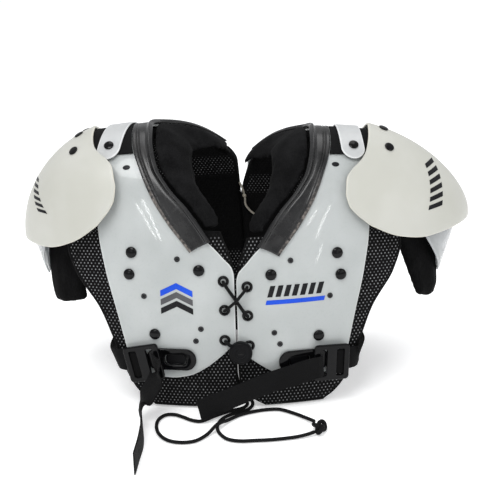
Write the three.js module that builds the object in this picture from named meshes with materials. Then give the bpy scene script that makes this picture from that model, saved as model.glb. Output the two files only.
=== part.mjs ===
import * as THREE from 'three';

// A youth football shoulder pad that stands on the cut lower edges of its body liners.
// Units are millimetres. X runs to the wearer's left hand, the chest faces -Y and Z is up.
// The pad is two arches, one over each shoulder, laced together at the chest and the back.
// A place on an arch has three measures. "out" is the distance from the mid-plane.
// "turn" runs along the arch, from 0 at the chest's foot over 0.5 at the crest to 1 at the
// back's foot. "lift" is the height above the plate's outer face, along the surface normal.

// The outer face of both arch plates.
const ARCH_HEIGHT = 286;
const ARCH_WIDTH = 150;
const CHEST_DEPTH = 115;
const BACK_DEPTH = 112;
const CHEST_ROUNDING = 2.1;
const BACK_ROUNDING = 2.2;
const CROWN_ROUNDING = 2.8;
const FLANK_WRAP = 0.25;
const CREST_FALL = 0.03;
const BACK_DRIFT = 11;

// Thicknesses.
const PLATE_WALL = 2.8;
const LINER_WALL = 13.5;
const TRIM_WALL = 3.6;
const NECK_PAD_WALL = 11;
const WEB_WALL = 2;
const WEB_REACH = 149;
const TAB_WALL = 2;
const TAB_WIDTH = 25;
const TAB_OUT = { left: 0.808, right: 0.83333 };
const EPAULET_WALL = 2.8;
const CUP_WALL = 2;
const DELTOID_WALL = 12;
const STRAP_WALL = 1.6;

// Clearances.
const LAYER_GAP = 0.6;
const SEAT_GAP = 0.3;
const TAIL_CLEARANCE = 0.5;

// Widths and diameters of the small parts.
const STRAP_WIDTH = 25;
const DOME_RIVET = 12;
const TAB_RIVET = 10.5;
const EYELET = 12;
const EYELET_BORE = 5.6;
const LACE = 3.8;
const LOCK_DIAMETER = 25;
const LOCK_WALL = 8;
const ANCHOR_LENGTH = 54;
const ANCHOR_HEIGHT = 24;
const ANCHOR_WALL = 3.5;
const BUCKLE_WIDTH = 39;
const BUCKLE_HEIGHT = 40;
const BUCKLE_WALL = 4.5;

// The two halves aren't alike: one rides higher on the chest, the other cap is splayed out.
const SIDES = [
  { name: 'left', sign: -1, rise: 3, backFall: 0 },
  { name: 'right', sign: 1, rise: -4, backFall: 16 },
];
const SETTLE_HEIGHT = 70;
const HANG = {
  left: {
    cap: { turn: 0, drop: -4.5 },
    cup: { turn: 0, drop: -7, flare: 7, spread: 1 },
    pad: { turn: 0, drop: 5 },
  },
  right: {
    cap: { turn: 9, drop: -0.5 },
    cup: { turn: 6, drop: 9, flare: 14, spread: 1.45 },
    pad: { turn: 6, drop: 19 },
  },
};

// Stations along the arch that every layer shares, as turns, so that stacked layers keep
// the same facets and never cross.
const STATIONS = [
  0.035, 0.07, 0.1, 0.129, 0.151, 0.172, 0.1935, 0.196, 0.22, 0.248, 0.28, 0.32, 0.368,
  0.42, 0.47, 0.52, 0.56, 0.605, 0.65, 0.695, 0.74, 0.785, 0.83, 0.88, 0.935,
];
const NECK_PAD_FRONT = 0.196;

// Edges of the layers. "out" is a share of the arch's half width.
const PLATE_NECK_EDGE = [
  { turn: 0, out: 0.007 },
  { turn: 0.129, out: 0.007 },
  { turn: 0.142, out: 0.024 },
  { turn: 0.151, out: 0.064 },
  { turn: 0.172, out: 0.152 },
  { turn: 0.186, out: 0.22 },
  { turn: 0.2, out: 0.287 },
  { turn: 0.2377, out: 0.365 },
  { turn: 0.274, out: 0.47 },
  { turn: 0.3206, out: 0.537 },
  { turn: 0.368, out: 0.567 },
  { turn: 0.41, out: 0.58 },
  { turn: 0.5, out: 0.587 },
  { turn: 0.576, out: 0.51 },
  { turn: 0.629, out: 0.3 },
  { turn: 0.703, out: 0.09 },
  { turn: 0.765, out: 0.06 },
  { turn: 0.81, out: 0.014 },
  { turn: 1, out: 0.014 },
];
const PLATE_ARM_EDGE = [
  { turn: 0, out: 0.72 },
  { turn: 0.041, out: 0.79 },
  { turn: 0.0856, out: 0.853 },
  { turn: 0.135, out: 0.913 },
  { turn: 0.196, out: 0.955 },
  { turn: 0.3, out: 0.975 },
  { turn: 0.5, out: 1 },
  { turn: 0.7, out: 0.975 },
  { turn: 0.804, out: 0.955 },
  { turn: 0.865, out: 0.913 },
  { turn: 0.959, out: 0.79 },
  { turn: 1, out: 0.72 },
];
const TRIM_NECK_EDGE = [
  { turn: 0.18, out: 0.18 },
  { turn: 0.2377, out: 0.342 },
  { turn: 0.274, out: 0.443 },
  { turn: 0.3206, out: 0.515 },
  { turn: 0.368, out: 0.546 },
  { turn: 0.41, out: 0.557 },
  { turn: 0.5, out: 0.56 },
  { turn: 0.556, out: 0.52 },
  { turn: 0.6, out: 0.37 },
  { turn: 0.629, out: 0.273 },
  { turn: 0.703, out: 0.07 },
];
const TRIM_ARM_EDGE = [
  { turn: 0.165, out: 0.303 },
  { turn: 0.214, out: 0.452 },
  { turn: 0.262, out: 0.558 },
  { turn: 0.318, out: 0.643 },
  { turn: 0.368, out: 0.685 },
  { turn: 0.41, out: 0.7 },
  { turn: 0.5, out: 0.705 },
  { turn: 0.556, out: 0.69 },
  { turn: 0.6, out: 0.585 },
  { turn: 0.629, out: 0.5 },
  { turn: 0.688, out: 0.3 },
  { turn: 0.72, out: 0.2 },
];
const LINER_NECK_EDGE = {
  left: [
    { turn: 0, out: 0.04 },
    { turn: 0.002, out: 0.014 },
    { turn: 0.129, out: 0.014 },
    { turn: 0.1935, out: 0.09 },
  ],
  right: [
    { turn: 0, out: 0.19 },
    { turn: 0.002, out: 0.115 },
    { turn: 0.006, out: 0.05 },
    { turn: 0.0142, out: 0.014 },
    { turn: 0.129, out: 0.014 },
    { turn: 0.1935, out: 0.09 },
  ],
};
const LINER_BACK_EDGE = {
  left: [
    { turn: 0.703, out: 0.074 },
    { turn: 0.745, out: 0.035 },
    { turn: 0.8, out: 0.006 },
    { turn: 0.9, out: 0.006 },
    { turn: 0.98, out: 0.03 },
    { turn: 1, out: 0.075 },
  ],
  right: [
    { turn: 0.703, out: 0.12 },
    { turn: 0.745, out: 0.085 },
    { turn: 0.79, out: 0.05 },
    { turn: 0.83, out: 0.006 },
    { turn: 0.9, out: 0.006 },
    { turn: 0.98, out: 0.03 },
    { turn: 1, out: 0.075 },
  ],
};
const LINER_ARM_EDGE = [
  { turn: 0, out: 0.647 },
  { turn: 0.006, out: 0.747 },
  { turn: 0.0142, out: 0.817 },
  { turn: 0.0463, out: 0.9 },
  { turn: 0.0825, out: 1 },
  { turn: 0.131, out: 1.15 },
  { turn: 0.172, out: 1.2 },
  { turn: 0.234, out: 1.18 },
  { turn: 0.36, out: 1.07 },
  { turn: 0.5, out: 1.04 },
  { turn: 0.64, out: 1.07 },
  { turn: 0.766, out: 1.147 },
  { turn: 0.828, out: 1.167 },
  { turn: 0.869, out: 1.133 },
  { turn: 0.9175, out: 1 },
  { turn: 0.9537, out: 0.9 },
  { turn: 0.9858, out: 0.817 },
  { turn: 0.994, out: 0.747 },
  { turn: 1, out: 0.647 },
];
const NECK_PAD_EDGE = [
  { turn: 0.19, out: 0.085 },
  { turn: 0.214, out: 0.105 },
  { turn: 0.235, out: 0.145 },
  { turn: 0.262, out: 0.2 },
  { turn: 0.3, out: 0.245 },
  { turn: 0.34, out: 0.265 },
  { turn: 0.4, out: 0.275 },
  { turn: 0.5, out: 0.275 },
  { turn: 0.556, out: 0.235 },
  { turn: 0.6, out: 0.155 },
  { turn: 0.629, out: 0.1 },
  { turn: 0.66, out: 0.07 },
  { turn: 0.703, out: 0.035 },
];

// How far the neck pad's free edge sinks below the plate, in millimetres.
const NECK_PAD_FALL = [
  { turn: 0.2, fall: 15 },
  { turn: 0.28, fall: 22 },
  { turn: 0.4, fall: 31 },
  { turn: 0.55, fall: 31 },
  { turn: 0.703, fall: 16 },
];

// The plate's scalloped lower edge: "across" runs from the neck side to the arm side and
// "rise" is a share of the arch height.
const PLATE_FOOT = [
  { across: 0, rise: 0.262 },
  { across: 0.15, rise: 0.206 },
  { across: 0.3, rise: 0.163 },
  { across: 0.45, rise: 0.135 },
  { across: 0.62, rise: 0.125 },
  { across: 0.8, rise: 0.135 },
  { across: 0.92, rise: 0.17 },
  { across: 1, rise: 0.225 },
];

// Rivets and eyelets on the chest, as shares of the half width and of the arch height.
const CHEST_DOMES = [
  { name: 'upper', out: 0.72, rise: 0.606 },
  { name: 'middle', out: 0.742, rise: 0.525 },
  { name: 'inner', out: 0.25, rise: 0.539 },
  { name: 'lower', out: 0.578, rise: 0.296 },
];
const EYELETS = [
  { name: 'top', out: 0.082, rise: 0.498 },
  { name: 'middle', out: 0.08, rise: 0.39 },
  { name: 'lower', out: 0.085, rise: 0.274 },
];

// The epaulet is part of a rounded cap. Heights are shares of the arch height, depths of
// the chest's depth and the rest of the arch width. Angles are in degrees.
const CAP = { height: 0.59441, depth: 0.81739 };
const CAP_CORNER_FALL = 9;
const CAP_SPAN = {
  left: { out: 0.73333, reach: 0.81333, top: 71.5, sag: 2, rise: 0.41958, power: 1.9 },
  right: { out: 0.65333, reach: 0.96667, top: 66, sag: 3.5, rise: 0.441, power: 1.66 },
};
const CAP_RIM = [
  { azimuth: 0, pitch: -1 },
  { azimuth: 34, pitch: 1 },
  { azimuth: 52, pitch: 7 },
  { azimuth: 70, pitch: 20 },
  { azimuth: 84, pitch: 32 },
];
const CAP_SPREAD = [
  { up: 0, azimuth: 76 },
  { up: 0.12, azimuth: 82 },
  { up: 0.35, azimuth: 83 },
  { up: 0.6, azimuth: 77 },
  { up: 0.8, azimuth: 63 },
  { up: 1, azimuth: 42 },
];
const CAP_RIVETS = [
  { name: 'front', out: 1.12, back: -0.26087 },
  { name: 'mid', out: 1.1, back: -0.01739 },
  { name: 'rear', out: 1.06667, back: 0.2087 },
];
const HINGE = { out: 1, height: 0.98951 };

// The clear cup under the epaulet, level by level, as shares of the arch's sizes.
const CUP_LEVELS = [
  { height: 0.86364, centre: 1.09333, reach: 0.14, depth: 0.22609, azimuth: 60, flare: 0 },
  { height: 0.81469, centre: 1.06667, reach: 0.22667, depth: 0.33043, azimuth: 62, flare: 0.25 },
  { height: 0.74476, centre: 1.02667, reach: 0.37333, depth: 0.42609, azimuth: 62, flare: 0.5 },
  { height: 0.66434, centre: 1.00667, reach: 0.44, depth: 0.46957, azimuth: 56, flare: 0.9 },
  { height: 0.58741, centre: 1, reach: 0.45, depth: 0.47826, azimuth: 43, flare: 1 },
  { height: 0.51049, centre: 1, reach: 0.43333, depth: 0.46522, azimuth: 30, flare: 0.65 },
  { height: 0.44755, centre: 1, reach: 0.41333, depth: 0.44348, azimuth: 18, flare: 0.3 },
  { height: 0.40559, centre: 1, reach: 0.40333, depth: 0.43478, azimuth: 7, flare: 0 },
];
const CUP_SPREAD_BELOW = 0.62937;
const CUP_TOP = { left: 0.88986, right: 0.93007 };

// The cloth pad that hangs inside the cup.
const DELTOID_LEVELS = [
  { height: 0.81119, centre: 1.05333, reach: 0.21333, depth: 0.24348 },
  { height: 0.74126, centre: 1.02, reach: 0.30667, depth: 0.33043 },
  { height: 0.64685, centre: 1, reach: 0.36, depth: 0.37391 },
  { height: 0.52448, centre: 1, reach: 0.37667, depth: 0.38261 },
  { height: 0.41259, centre: 1, reach: 0.37333, depth: 0.37826 },
  { height: 0.33916, centre: 1, reach: 0.35333, depth: 0.36522 },
];
const DELTOID_SPREAD = { left: { high: 74, low: 74 }, right: { high: 74, low: 48 } };
const DELTOID_FRONT_RISE = 14;
const DELTOID_SWELL = { left: 2.3, right: 3.1 };

// The tab's rivets, and where the strap hardware sits on the chest.
const TAB_RIVETS = [
  { name: 'front', out: 0.85667, turn: 0.403 },
  { name: 'rear', out: 0.78, turn: 0.588 },
];
const ANCHOR_OUT = 0.46667;
const BUCKLE_OUT = 0.65333;
const BUCKLE_RISE = 0.201;
const BUCKLE_STANDOFF = 5;
const BUCKLE_SPIN = { left: 12, right: -3 };
const BUCKLE_SLOT = 8;
const BUCKLE_SLOT_OFFSET = 9.5;
const SLOT_HEIGHT = 30;

// The side strap: along the arch where it lies on it, and free across the open side. Places
// are shares of the arch's sizes, and the lift is in millimetres.
const SIDE_STRAP = [
  { out: 0.71667, turn: 0.031, lift: 3.1, lean: 0 },
  { out: 0.74667, turn: 0.031, lift: 2, lean: 0 },
  { out: 0.79333, turn: 0.031, lift: 1.8, lean: 0 },
  { out: 0.82667, turn: 0.031, lift: 1.4, lean: 0.1 },
  { out: 0.86, turn: 0.031, lift: 0.2, lean: 0.3 },
  { out: 0.88, back: -0.76522, height: 0.18531, lean: 0.35 },
  { out: 0.89333, back: -0.66087, height: 0.18531, lean: 0.3 },
  { out: 0.89333, back: -0.3913, height: 0.18531, lean: 0.1 },
  { out: 0.89333, back: 0, height: 0.18531, lean: 0 },
  { out: 0.92, back: 0.40179, height: 0.18182, lean: 0 },
  { out: 0.95333, back: 0.64286, height: 0.17832, lean: 0.25 },
  { out: 0.93333, back: 0.78571, height: 0.17483, lean: 0.35 },
  { out: 0.86667, turn: 0.968, lift: 5, lean: 0.3 },
  { out: 0.82667, turn: 0.968, lift: 3.4, lean: 0.15 },
  { out: 0.77333, turn: 0.968, lift: 2.2, lean: 0 },
  { out: 0.69333, turn: 0.968, lift: 1.8, lean: 0 },
  { out: 0.61333, turn: 0.968, lift: 1.8, lean: 0 },
];

// The straps' free ends: a place, as shares of the arch's width, depth and height, and the
// direction across the width. A row of height 0 stands on its edge on the floor.
const STRAP_TAILS = {
  left: [
    { x: -0.6, y: -0.97565, z: 0.20629, ax: -0.2, ay: 0, az: 1, width: 22 },
    { x: -0.57867, y: -1.03391, z: 0.2028, ax: -0.2, ay: 0, az: 1 },
    { x: -0.56, y: -1.07826, z: 0.18881, ax: 0.15, ay: -0.15, az: 0.95 },
    { x: -0.58667, y: -1.11304, z: 0.15035, ax: 0.6, ay: -0.4, az: 0.5 },
    { x: -0.64, y: -1.13913, z: 0.1014, ax: 0.55, ay: -0.7, az: 0.25 },
    { x: -0.67333, y: -1.15652, z: 0.06643, ax: 0.3, ay: -0.6, az: 0.7 },
    { x: -0.68667, y: -1.22609, z: 0.0507, ax: 0.1, ay: -0.25, az: 0.95 },
    { x: -0.68, y: -1.34783, z: 0, ax: 0.04, ay: 0, az: 1 },
    { x: -0.66333, y: -1.52174, z: 0, ax: -0.03, ay: 0, az: 1 },
    { x: -0.66, y: -1.69565, z: 0, ax: -0.05, ay: 0, az: 1 },
    { x: -0.67, y: -1.93043, z: 0, ax: 0, ay: 0, az: 1 },
    { x: -0.68333, y: -2.16522, z: 0, ax: 0, ay: 0, az: 1 },
  ],
  right: [
    { x: 0.604, y: -0.97739, z: 0.17308, ax: -0.05, ay: 0, az: 1 },
    { x: 0.58333, y: -1.0287, z: 0.17133, ax: 0, ay: 0, az: 1 },
    { x: 0.53333, y: -1.04, z: 0.16783, ax: 0.1, ay: 0, az: 1 },
    { x: 0.47333, y: -1.0487, z: 0.16084, ax: 0.15, ay: 0, az: 1 },
    { x: 0.38667, y: -1.05217, z: 0.1458, ax: 0.25, ay: 0, az: 1 },
    { x: 0.29333, y: -1.06522, z: 0.13427, ax: 0.2, ay: 0, az: 1 },
    { x: 0.21, y: -1.08696, z: 0.12413, ax: 0.25, ay: 0, az: 1 },
    { x: 0.13, y: -1.11304, z: 0.11294, ax: 0.3, ay: 0.05, az: 1 },
    { x: 0.02333, y: -1.15652, z: 0.0979, ax: 0.3, ay: 0.08, az: 1 },
    { x: -0.08333, y: -1.20435, z: 0.08392, ax: 0.3, ay: 0.1, az: 1 },
    { x: -0.18667, y: -1.25217, z: 0.07168, ax: 0.3, ay: 0.12, az: 1 },
    { x: -0.28, y: -1.29565, z: 0.06119, ax: 0.3, ay: 0.12, az: 1 },
  ],
};

// The two crossed lace strands: how far each stands off at a share of its length.
const LACE_UNDER = [
  { share: 0.12, lift: 2.4 },
  { share: 0.3, lift: 2.6 },
  { share: 0.5, lift: 2.4 },
  { share: 0.7, lift: 2.6 },
  { share: 0.88, lift: 2.4 },
];
const LACE_OVER = [
  { share: 0.12, lift: 2.4 },
  { share: 0.32, lift: 5 },
  { share: 0.5, lift: 6.9 },
  { share: 0.68, lift: 5 },
  { share: 0.88, lift: 2.4 },
];

// The lock where the lace ends, the loose lace on the floor and its knot.
const LOCK = { x: 3.5, y: -CHEST_DEPTH - 1.5, z: 69.5 };
const TAIL_LONG = [
  [0, -116.2, 67.3], [0, -105, 67.3], [0, -92.5, 66.8], [-2.5, -87, 58], [-3, -89, 38],
  [0, -93, 19], [3, -94, 7], [7.5, -98.5, 2.2], [8.5, -107, 2.1], [4, -115, 2.1], [-10, -121.5, 2.1], [-26, -132, 2.1], [-41, -143, 2.1],
  [-51, -139.5, 2.1], [-60, -132, 2.1], [-69, -126, 2.1], [-78, -126, 2.1], [-85, -135, 2.1],
  [-87, -151, 2.1], [-83, -169, 2.1], [-73, -183, 2.1], [-60, -188, 2.1], [-46, -186, 2.1],
  [-34, -174.5, 2.6], [-23, -160, 6.6], [-12, -144, 3], [1, -131, 2.1], [16, -124, 2.1],
  [31, -120.5, 2.1], [43, -121, 2.1], [58, -131, 2.1], [68, -141, 2.6], [78.4, -154.6, 5],
];
const TAIL_SHORT = [
  [0, -116.2, 62.4], [0, -105, 62.4], [0.25, -93.2, 61.2], [4.6, -90.8, 52], [5, -91.5, 38],
  [6, -93.5, 20], [9.5, -94, 7], [13.5, -98.5, 2.2], [14.5, -107, 2.1], [9, -119.5, 2.1], [-6, -127.5, 2.1], [-17, -137.5, 2.1], [-22, -149, 2.1],
  [-23, -160, 2.1], [-20, -172, 2.1], [-12, -184, 2.1], [0, -188.6, 2.1], [16, -188.5, 2.1],
  [31, -188, 2.1], [46.5, -186, 2.1], [60, -183, 2.4], [74.6, -175.6, 4.4],
];
const KNOT = { x: 82, y: -167, z: 0.2 };
const LOOSE_LACE = ['lace_tail_long', 'lace_tail_short', 'lace_knot'];
const BACK_LACE = [
  [6.5, 74.2, 198], [10, 73.2, 190], [12.4, 73.7, 179], [13, 74.7, 170], [18, 76.2, 162], [23, 77.7, 157],
];
const BACK_LACE_DIAMETER = 2.4;

const COLOURS = {
  plate: 0xe6eaea,
  liner: 0x1c1c1e,
  trim: 0x17171a,
  pad: 0x222226,
  web: 0x18181b,
  tab: 0xe8eaea,
  epaulet: 0xe3ded4,
  cup: 0xdfe3e4,
  hardware: 0x0e0e10,
  lace: 0x121214,
  cord: 0xb9b0a0,
};

const group = new THREE.Group();
group.name = 'football_shoulder_pad';

function material(name, colour, roughness) {
  const made = new THREE.MeshStandardMaterial({ color: colour, roughness });
  made.name = name;
  return made;
}

const MATERIALS = {
  plate: material('milky_plate', COLOURS.plate, 0.25),
  liner: material('spacer_mesh', COLOURS.liner, 0.95),
  trim: material('trim_rubber', COLOURS.trim, 0.5),
  pad: material('brushed_cloth', COLOURS.pad, 0.95),
  web: material('webbing', COLOURS.web, 0.9),
  tab: material('tab_plastic', COLOURS.tab, 0.35),
  epaulet: material('ivory_plastic', COLOURS.epaulet, 0.4),
  cup: material('clear_cup', COLOURS.cup, 0.3),
  hardware: material('black_plastic', COLOURS.hardware, 0.35),
  lace: material('black_lace', COLOURS.lace, 0.85),
  cord: material('pale_cord', COLOURS.cord, 0.85),
};

function addMesh(name, geometry, finish) {
  const mesh = new THREE.Mesh(geometry, finish);
  mesh.name = name;
  group.add(mesh);
  return mesh;
}

// Reads a table between its rows.
function readTable(table, key, value, at) {
  if (at <= table[0][key]) {
    return table[0][value];
  }
  for (let i = 1; i < table.length; i += 1) {
    const low = table[i - 1];
    const high = table[i];
    if (at <= high[key]) {
      const share = (at - low[key]) / (high[key] - low[key]);
      return low[value] + (high[value] - low[value]) * share;
    }
  }
  return table[table.length - 1][value];
}

function mix(from, to, share) {
  return from + (to - from) * share;
}

// The turn at which the chest's outline reaches a share of the arch height.
function turnAtRise(rise) {
  return Math.asin(rise ** (CROWN_ROUNDING / 2)) / Math.PI;
}

// The two back halves sit a little to one side of the chest's mid-plane.
function driftAt(back) {
  return BACK_DRIFT * (Math.max(0, back) / BACK_DEPTH) ** 2;
}

// A point of the layered arch, in world millimetres.
function archPoint(side, out, turn, lift) {
  const wide = (out / ARCH_WIDTH) ** 2;
  const angle = Math.PI * turn;
  const forward = Math.cos(angle);
  const behind = forward < 0;
  const fullDepth = behind ? BACK_DEPTH : CHEST_DEPTH;
  const rounding = behind ? BACK_ROUNDING : CHEST_ROUNDING;
  const depth = fullDepth * (1 - FLANK_WRAP * wide);
  const height = ARCH_HEIGHT * (1 - CREST_FALL * wide);
  const y = depth * Math.abs(forward) ** (2 / rounding);
  const z = height * Math.abs(Math.sin(angle)) ** (2 / CROWN_ROUNDING);
  const depthSlope = (-2 * FLANK_WRAP * out * fullDepth) / ARCH_WIDTH ** 2;
  const heightSlope = (-2 * CREST_FALL * out * ARCH_HEIGHT) / ARCH_WIDTH ** 2;
  const yShare = (y / depth) ** (rounding - 1);
  const zShare = (z / height) ** (CROWN_ROUNDING - 1);
  const normal = new THREE.Vector3(
    (-rounding * yShare * y * depthSlope) / depth ** 2 -
      (CROWN_ROUNDING * zShare * z * heightSlope) / height ** 2,
    (rounding * yShare) / depth,
    (CROWN_ROUNDING * zShare) / height,
  ).normalize();
  const flank = behind ? 1 : -1;
  const drift = driftAt(flank * y);
  const backShare = behind ? y / BACK_DEPTH : 0;
  const settle = (side.rise - side.backFall * backShare) * Math.min(1, z / SETTLE_HEIGHT);
  return new THREE.Vector3(
    side.sign * (out + normal.x * lift) + drift,
    flank * (y + normal.y * lift),
    z + normal.z * lift + settle,
  );
}

// Triangles of a closed solid between two grids of points, turned to face outwards.
function gridSolid(upper, lower) {
  const rows = upper.length;
  const columns = upper[0].length;
  const points = [];
  upper.forEach((row) => row.forEach((point) => points.push(point)));
  lower.forEach((row) => row.forEach((point) => points.push(point)));
  const layer = rows * columns;
  const at = (row, column, below) => row * columns + column + (below ? layer : 0);
  const index = [];
  const quad = (a, b, c, d) => {
    index.push(a, b, c, a, c, d);
  };
  for (let i = 0; i < rows - 1; i += 1) {
    for (let j = 0; j < columns - 1; j += 1) {
      quad(at(i, j), at(i + 1, j), at(i + 1, j + 1), at(i, j + 1));
      index.push(at(i, j, true), at(i + 1, j + 1, true), at(i + 1, j, true));
      index.push(at(i, j, true), at(i, j + 1, true), at(i + 1, j + 1, true));
    }
  }
  for (let i = 0; i < rows - 1; i += 1) {
    const end = columns - 1;
    quad(at(i, 0), at(i, 0, true), at(i + 1, 0, true), at(i + 1, 0));
    quad(at(i, end), at(i + 1, end), at(i + 1, end, true), at(i, end, true));
  }
  for (let j = 0; j < columns - 1; j += 1) {
    const end = rows - 1;
    quad(at(0, j), at(0, j + 1), at(0, j + 1, true), at(0, j, true));
    quad(at(end, j), at(end, j, true), at(end, j + 1, true), at(end, j + 1));
  }
  return facingOut(points, index);
}

// Builds a geometry and reverses it where its signed volume is negative.
function facingOut(points, index) {
  let volume = 0;
  for (let i = 0; i < index.length; i += 3) {
    const [a, b, c] = [points[index[i]], points[index[i + 1]], points[index[i + 2]]];
    volume += a.dot(new THREE.Vector3().crossVectors(b, c));
  }
  if (volume < 0) {
    for (let i = 0; i < index.length; i += 3) {
      [index[i + 1], index[i + 2]] = [index[i + 2], index[i + 1]];
    }
  }
  const geometry = new THREE.BufferGeometry().setFromPoints(points);
  geometry.setIndex(index);
  geometry.computeVertexNormals();
  return geometry;
}

// The stations of a layer between its two ends, which may slope across the layer.
function stationsBetween(low, high, margin) {
  return STATIONS.filter((turn) => turn > low + margin && turn < high - margin);
}

// A layer of the arch: its edges give "out" in millimetres at a turn, its ends give the
// turn of the first and last row at a share across.
function archLayer(side, layer) {
  const extra = layer.extraStations || [];
  const inner = stationsBetween(layer.clearFront, layer.clearBack, 0);
  const rows = [null, ...extra.front || [], ...inner, ...extra.back || [], null];
  const faces = [[], []];
  rows.forEach((turn, i) => {
    const upper = [];
    const lower = [];
    for (let j = 0; j <= layer.columns; j += 1) {
      const share = j / layer.columns;
      const end = i === 0 ? layer.frontEnd(share) : layer.backEnd(share);
      const here = turn === null ? end : turn;
      const out = mix(layer.neckEdge(here), layer.armEdge(here), share);
      upper.push(archPoint(side, out, here, layer.top(share, here)));
      lower.push(archPoint(side, out, here, layer.base(share, here)));
    }
    faces[0].push(upper);
    faces[1].push(lower);
  });
  return gridSolid(faces[0], faces[1]);
}

function edge(table) {
  return (turn) => ARCH_WIDTH * readTable(table, 'turn', 'out', turn);
}

function archPlate(side) {
  const foot = (share) => readTable(PLATE_FOOT, 'across', 'rise', share);
  return archLayer(side, {
    columns: 8,
    clearFront: 0.06,
    clearBack: 0.95,
    neckEdge: edge(PLATE_NECK_EDGE),
    armEdge: edge(PLATE_ARM_EDGE),
    frontEnd: (share) => turnAtRise(foot(share)),
    backEnd: (share) => 1 - turnAtRise(foot(share)),
    top: () => 0,
    base: () => -PLATE_WALL,
  });
}

// The liner steps back to the trim where the neck pad takes over its neck edge.
function linerNeckEdge(side, turn) {
  if (turn < NECK_PAD_FRONT) {
    return edge(LINER_NECK_EDGE[side.name])(turn);
  }
  if (turn > 0.703) {
    return edge(LINER_BACK_EDGE[side.name])(turn);
  }
  return edge(TRIM_NECK_EDGE)(turn) + LAYER_GAP;
}

function bodyLiner(side) {
  return archLayer(side, {
    columns: 8,
    clearFront: 0.02,
    clearBack: 0.98,
    extraStations: { front: [0.002, 0.006, 0.0142], back: [0.9858, 0.994] },
    neckEdge: (turn) => linerNeckEdge(side, turn),
    armEdge: edge(LINER_ARM_EDGE),
    frontEnd: () => 0,
    backEnd: () => 1,
    top: () => -PLATE_WALL - LAYER_GAP,
    base: () => -PLATE_WALL - LAYER_GAP - LINER_WALL,
  });
}

function neckTrim(side) {
  return archLayer(side, {
    columns: 3,
    clearFront: 0.195,
    clearBack: 0.7,
    neckEdge: edge(TRIM_NECK_EDGE),
    armEdge: edge(TRIM_ARM_EDGE),
    frontEnd: (share) => mix(0.18, 0.164, share),
    backEnd: (share) => mix(0.703, 0.72, share),
    top: (share) => LAYER_GAP + TRIM_WALL * (1 - 0.3 * Math.sin(Math.PI * share)),
    base: () => LAYER_GAP,
  });
}

function neckPad(side) {
  const fall = (turn) => readTable(NECK_PAD_FALL, 'turn', 'fall', turn);
  const drop = (share, turn) => 1 - fall(turn) * (1 - share) ** 1.5;
  const swell = (share) => 0.55 + 0.45 * Math.sin(Math.PI * share);
  return archLayer(side, {
    columns: 4,
    clearFront: NECK_PAD_FRONT + 0.005,
    clearBack: 0.69,
    neckEdge: edge(NECK_PAD_EDGE),
    armEdge: (turn) => edge(TRIM_NECK_EDGE)(turn) - LAYER_GAP,
    frontEnd: () => NECK_PAD_FRONT + 0.004,
    backEnd: () => 0.7,
    top: (share, turn) => drop(share, turn),
    base: (share, turn) => drop(share, turn) - NECK_PAD_WALL * swell(share),
  });
}

function shoulderWeb(side) {
  return archLayer(side, {
    columns: 4,
    clearFront: 0.37,
    clearBack: 0.64,
    neckEdge: (turn) => edge(TRIM_ARM_EDGE)(turn) + LAYER_GAP,
    armEdge: () => WEB_REACH,
    frontEnd: () => 0.368,
    backEnd: () => 0.65,
    top: () => LAYER_GAP + WEB_WALL,
    base: () => LAYER_GAP,
  });
}

function webTab(side) {
  const lean = side.sign < 0 ? 10 : 4;
  const centre = (turn) => TAB_OUT[side.name] * ARCH_WIDTH + (lean * (0.5 - turn)) / 0.14;
  const half = (turn) => {
    const from = Math.min(turn - 0.352, 0.648 - turn);
    return (TAB_WIDTH / 2) * Math.min(1, Math.sqrt(Math.max(from, 0) / 0.035) * 0.75 + 0.3);
  };
  return archLayer(side, {
    columns: 2,
    clearFront: 0.36,
    clearBack: 0.64,
    neckEdge: (turn) => centre(turn) - half(turn),
    armEdge: (turn) => centre(turn) + half(turn),
    frontEnd: () => 0.352,
    backEnd: () => 0.648,
    top: () => 2 * LAYER_GAP + WEB_WALL + TAB_WALL,
    base: () => 2 * LAYER_GAP + WEB_WALL,
  });
}

// Places a point of the shoulder cap group, which is turned about the hinge over the arch.
function hinged(side, hang, point) {
  const angle = (hang.turn * Math.PI) / 180;
  const out = HINGE.out * ARCH_WIDTH;
  const height = HINGE.height * ARCH_HEIGHT;
  const x = point.x - out;
  const z = point.z - height;
  return new THREE.Vector3(
    side.sign * (out + x * Math.cos(angle) - z * Math.sin(angle)),
    point.y,
    height + z * Math.cos(angle) + x * Math.sin(angle) - hang.drop,
  );
}

function capPoint(side, azimuth, pitch, inset) {
  const span = CAP_SPAN[side.name];
  const a = (azimuth * Math.PI) / 180;
  const p = (pitch * Math.PI) / 180;
  const x = Math.cos(p) * Math.cos(a);
  const y = Math.cos(p) * Math.sin(a);
  const z = Math.sin(p);
  const sum =
    Math.abs(x / (span.reach * ARCH_WIDTH)) ** span.power +
    Math.abs(y / (CAP.depth * CHEST_DEPTH)) ** span.power +
    Math.abs(z / (span.rise * ARCH_HEIGHT)) ** span.power;
  const radius = sum ** (-1 / span.power) - inset;
  return new THREE.Vector3(
    span.out * ARCH_WIDTH + x * radius,
    y * radius,
    CAP.height * ARCH_HEIGHT + z * radius,
  );
}

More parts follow.
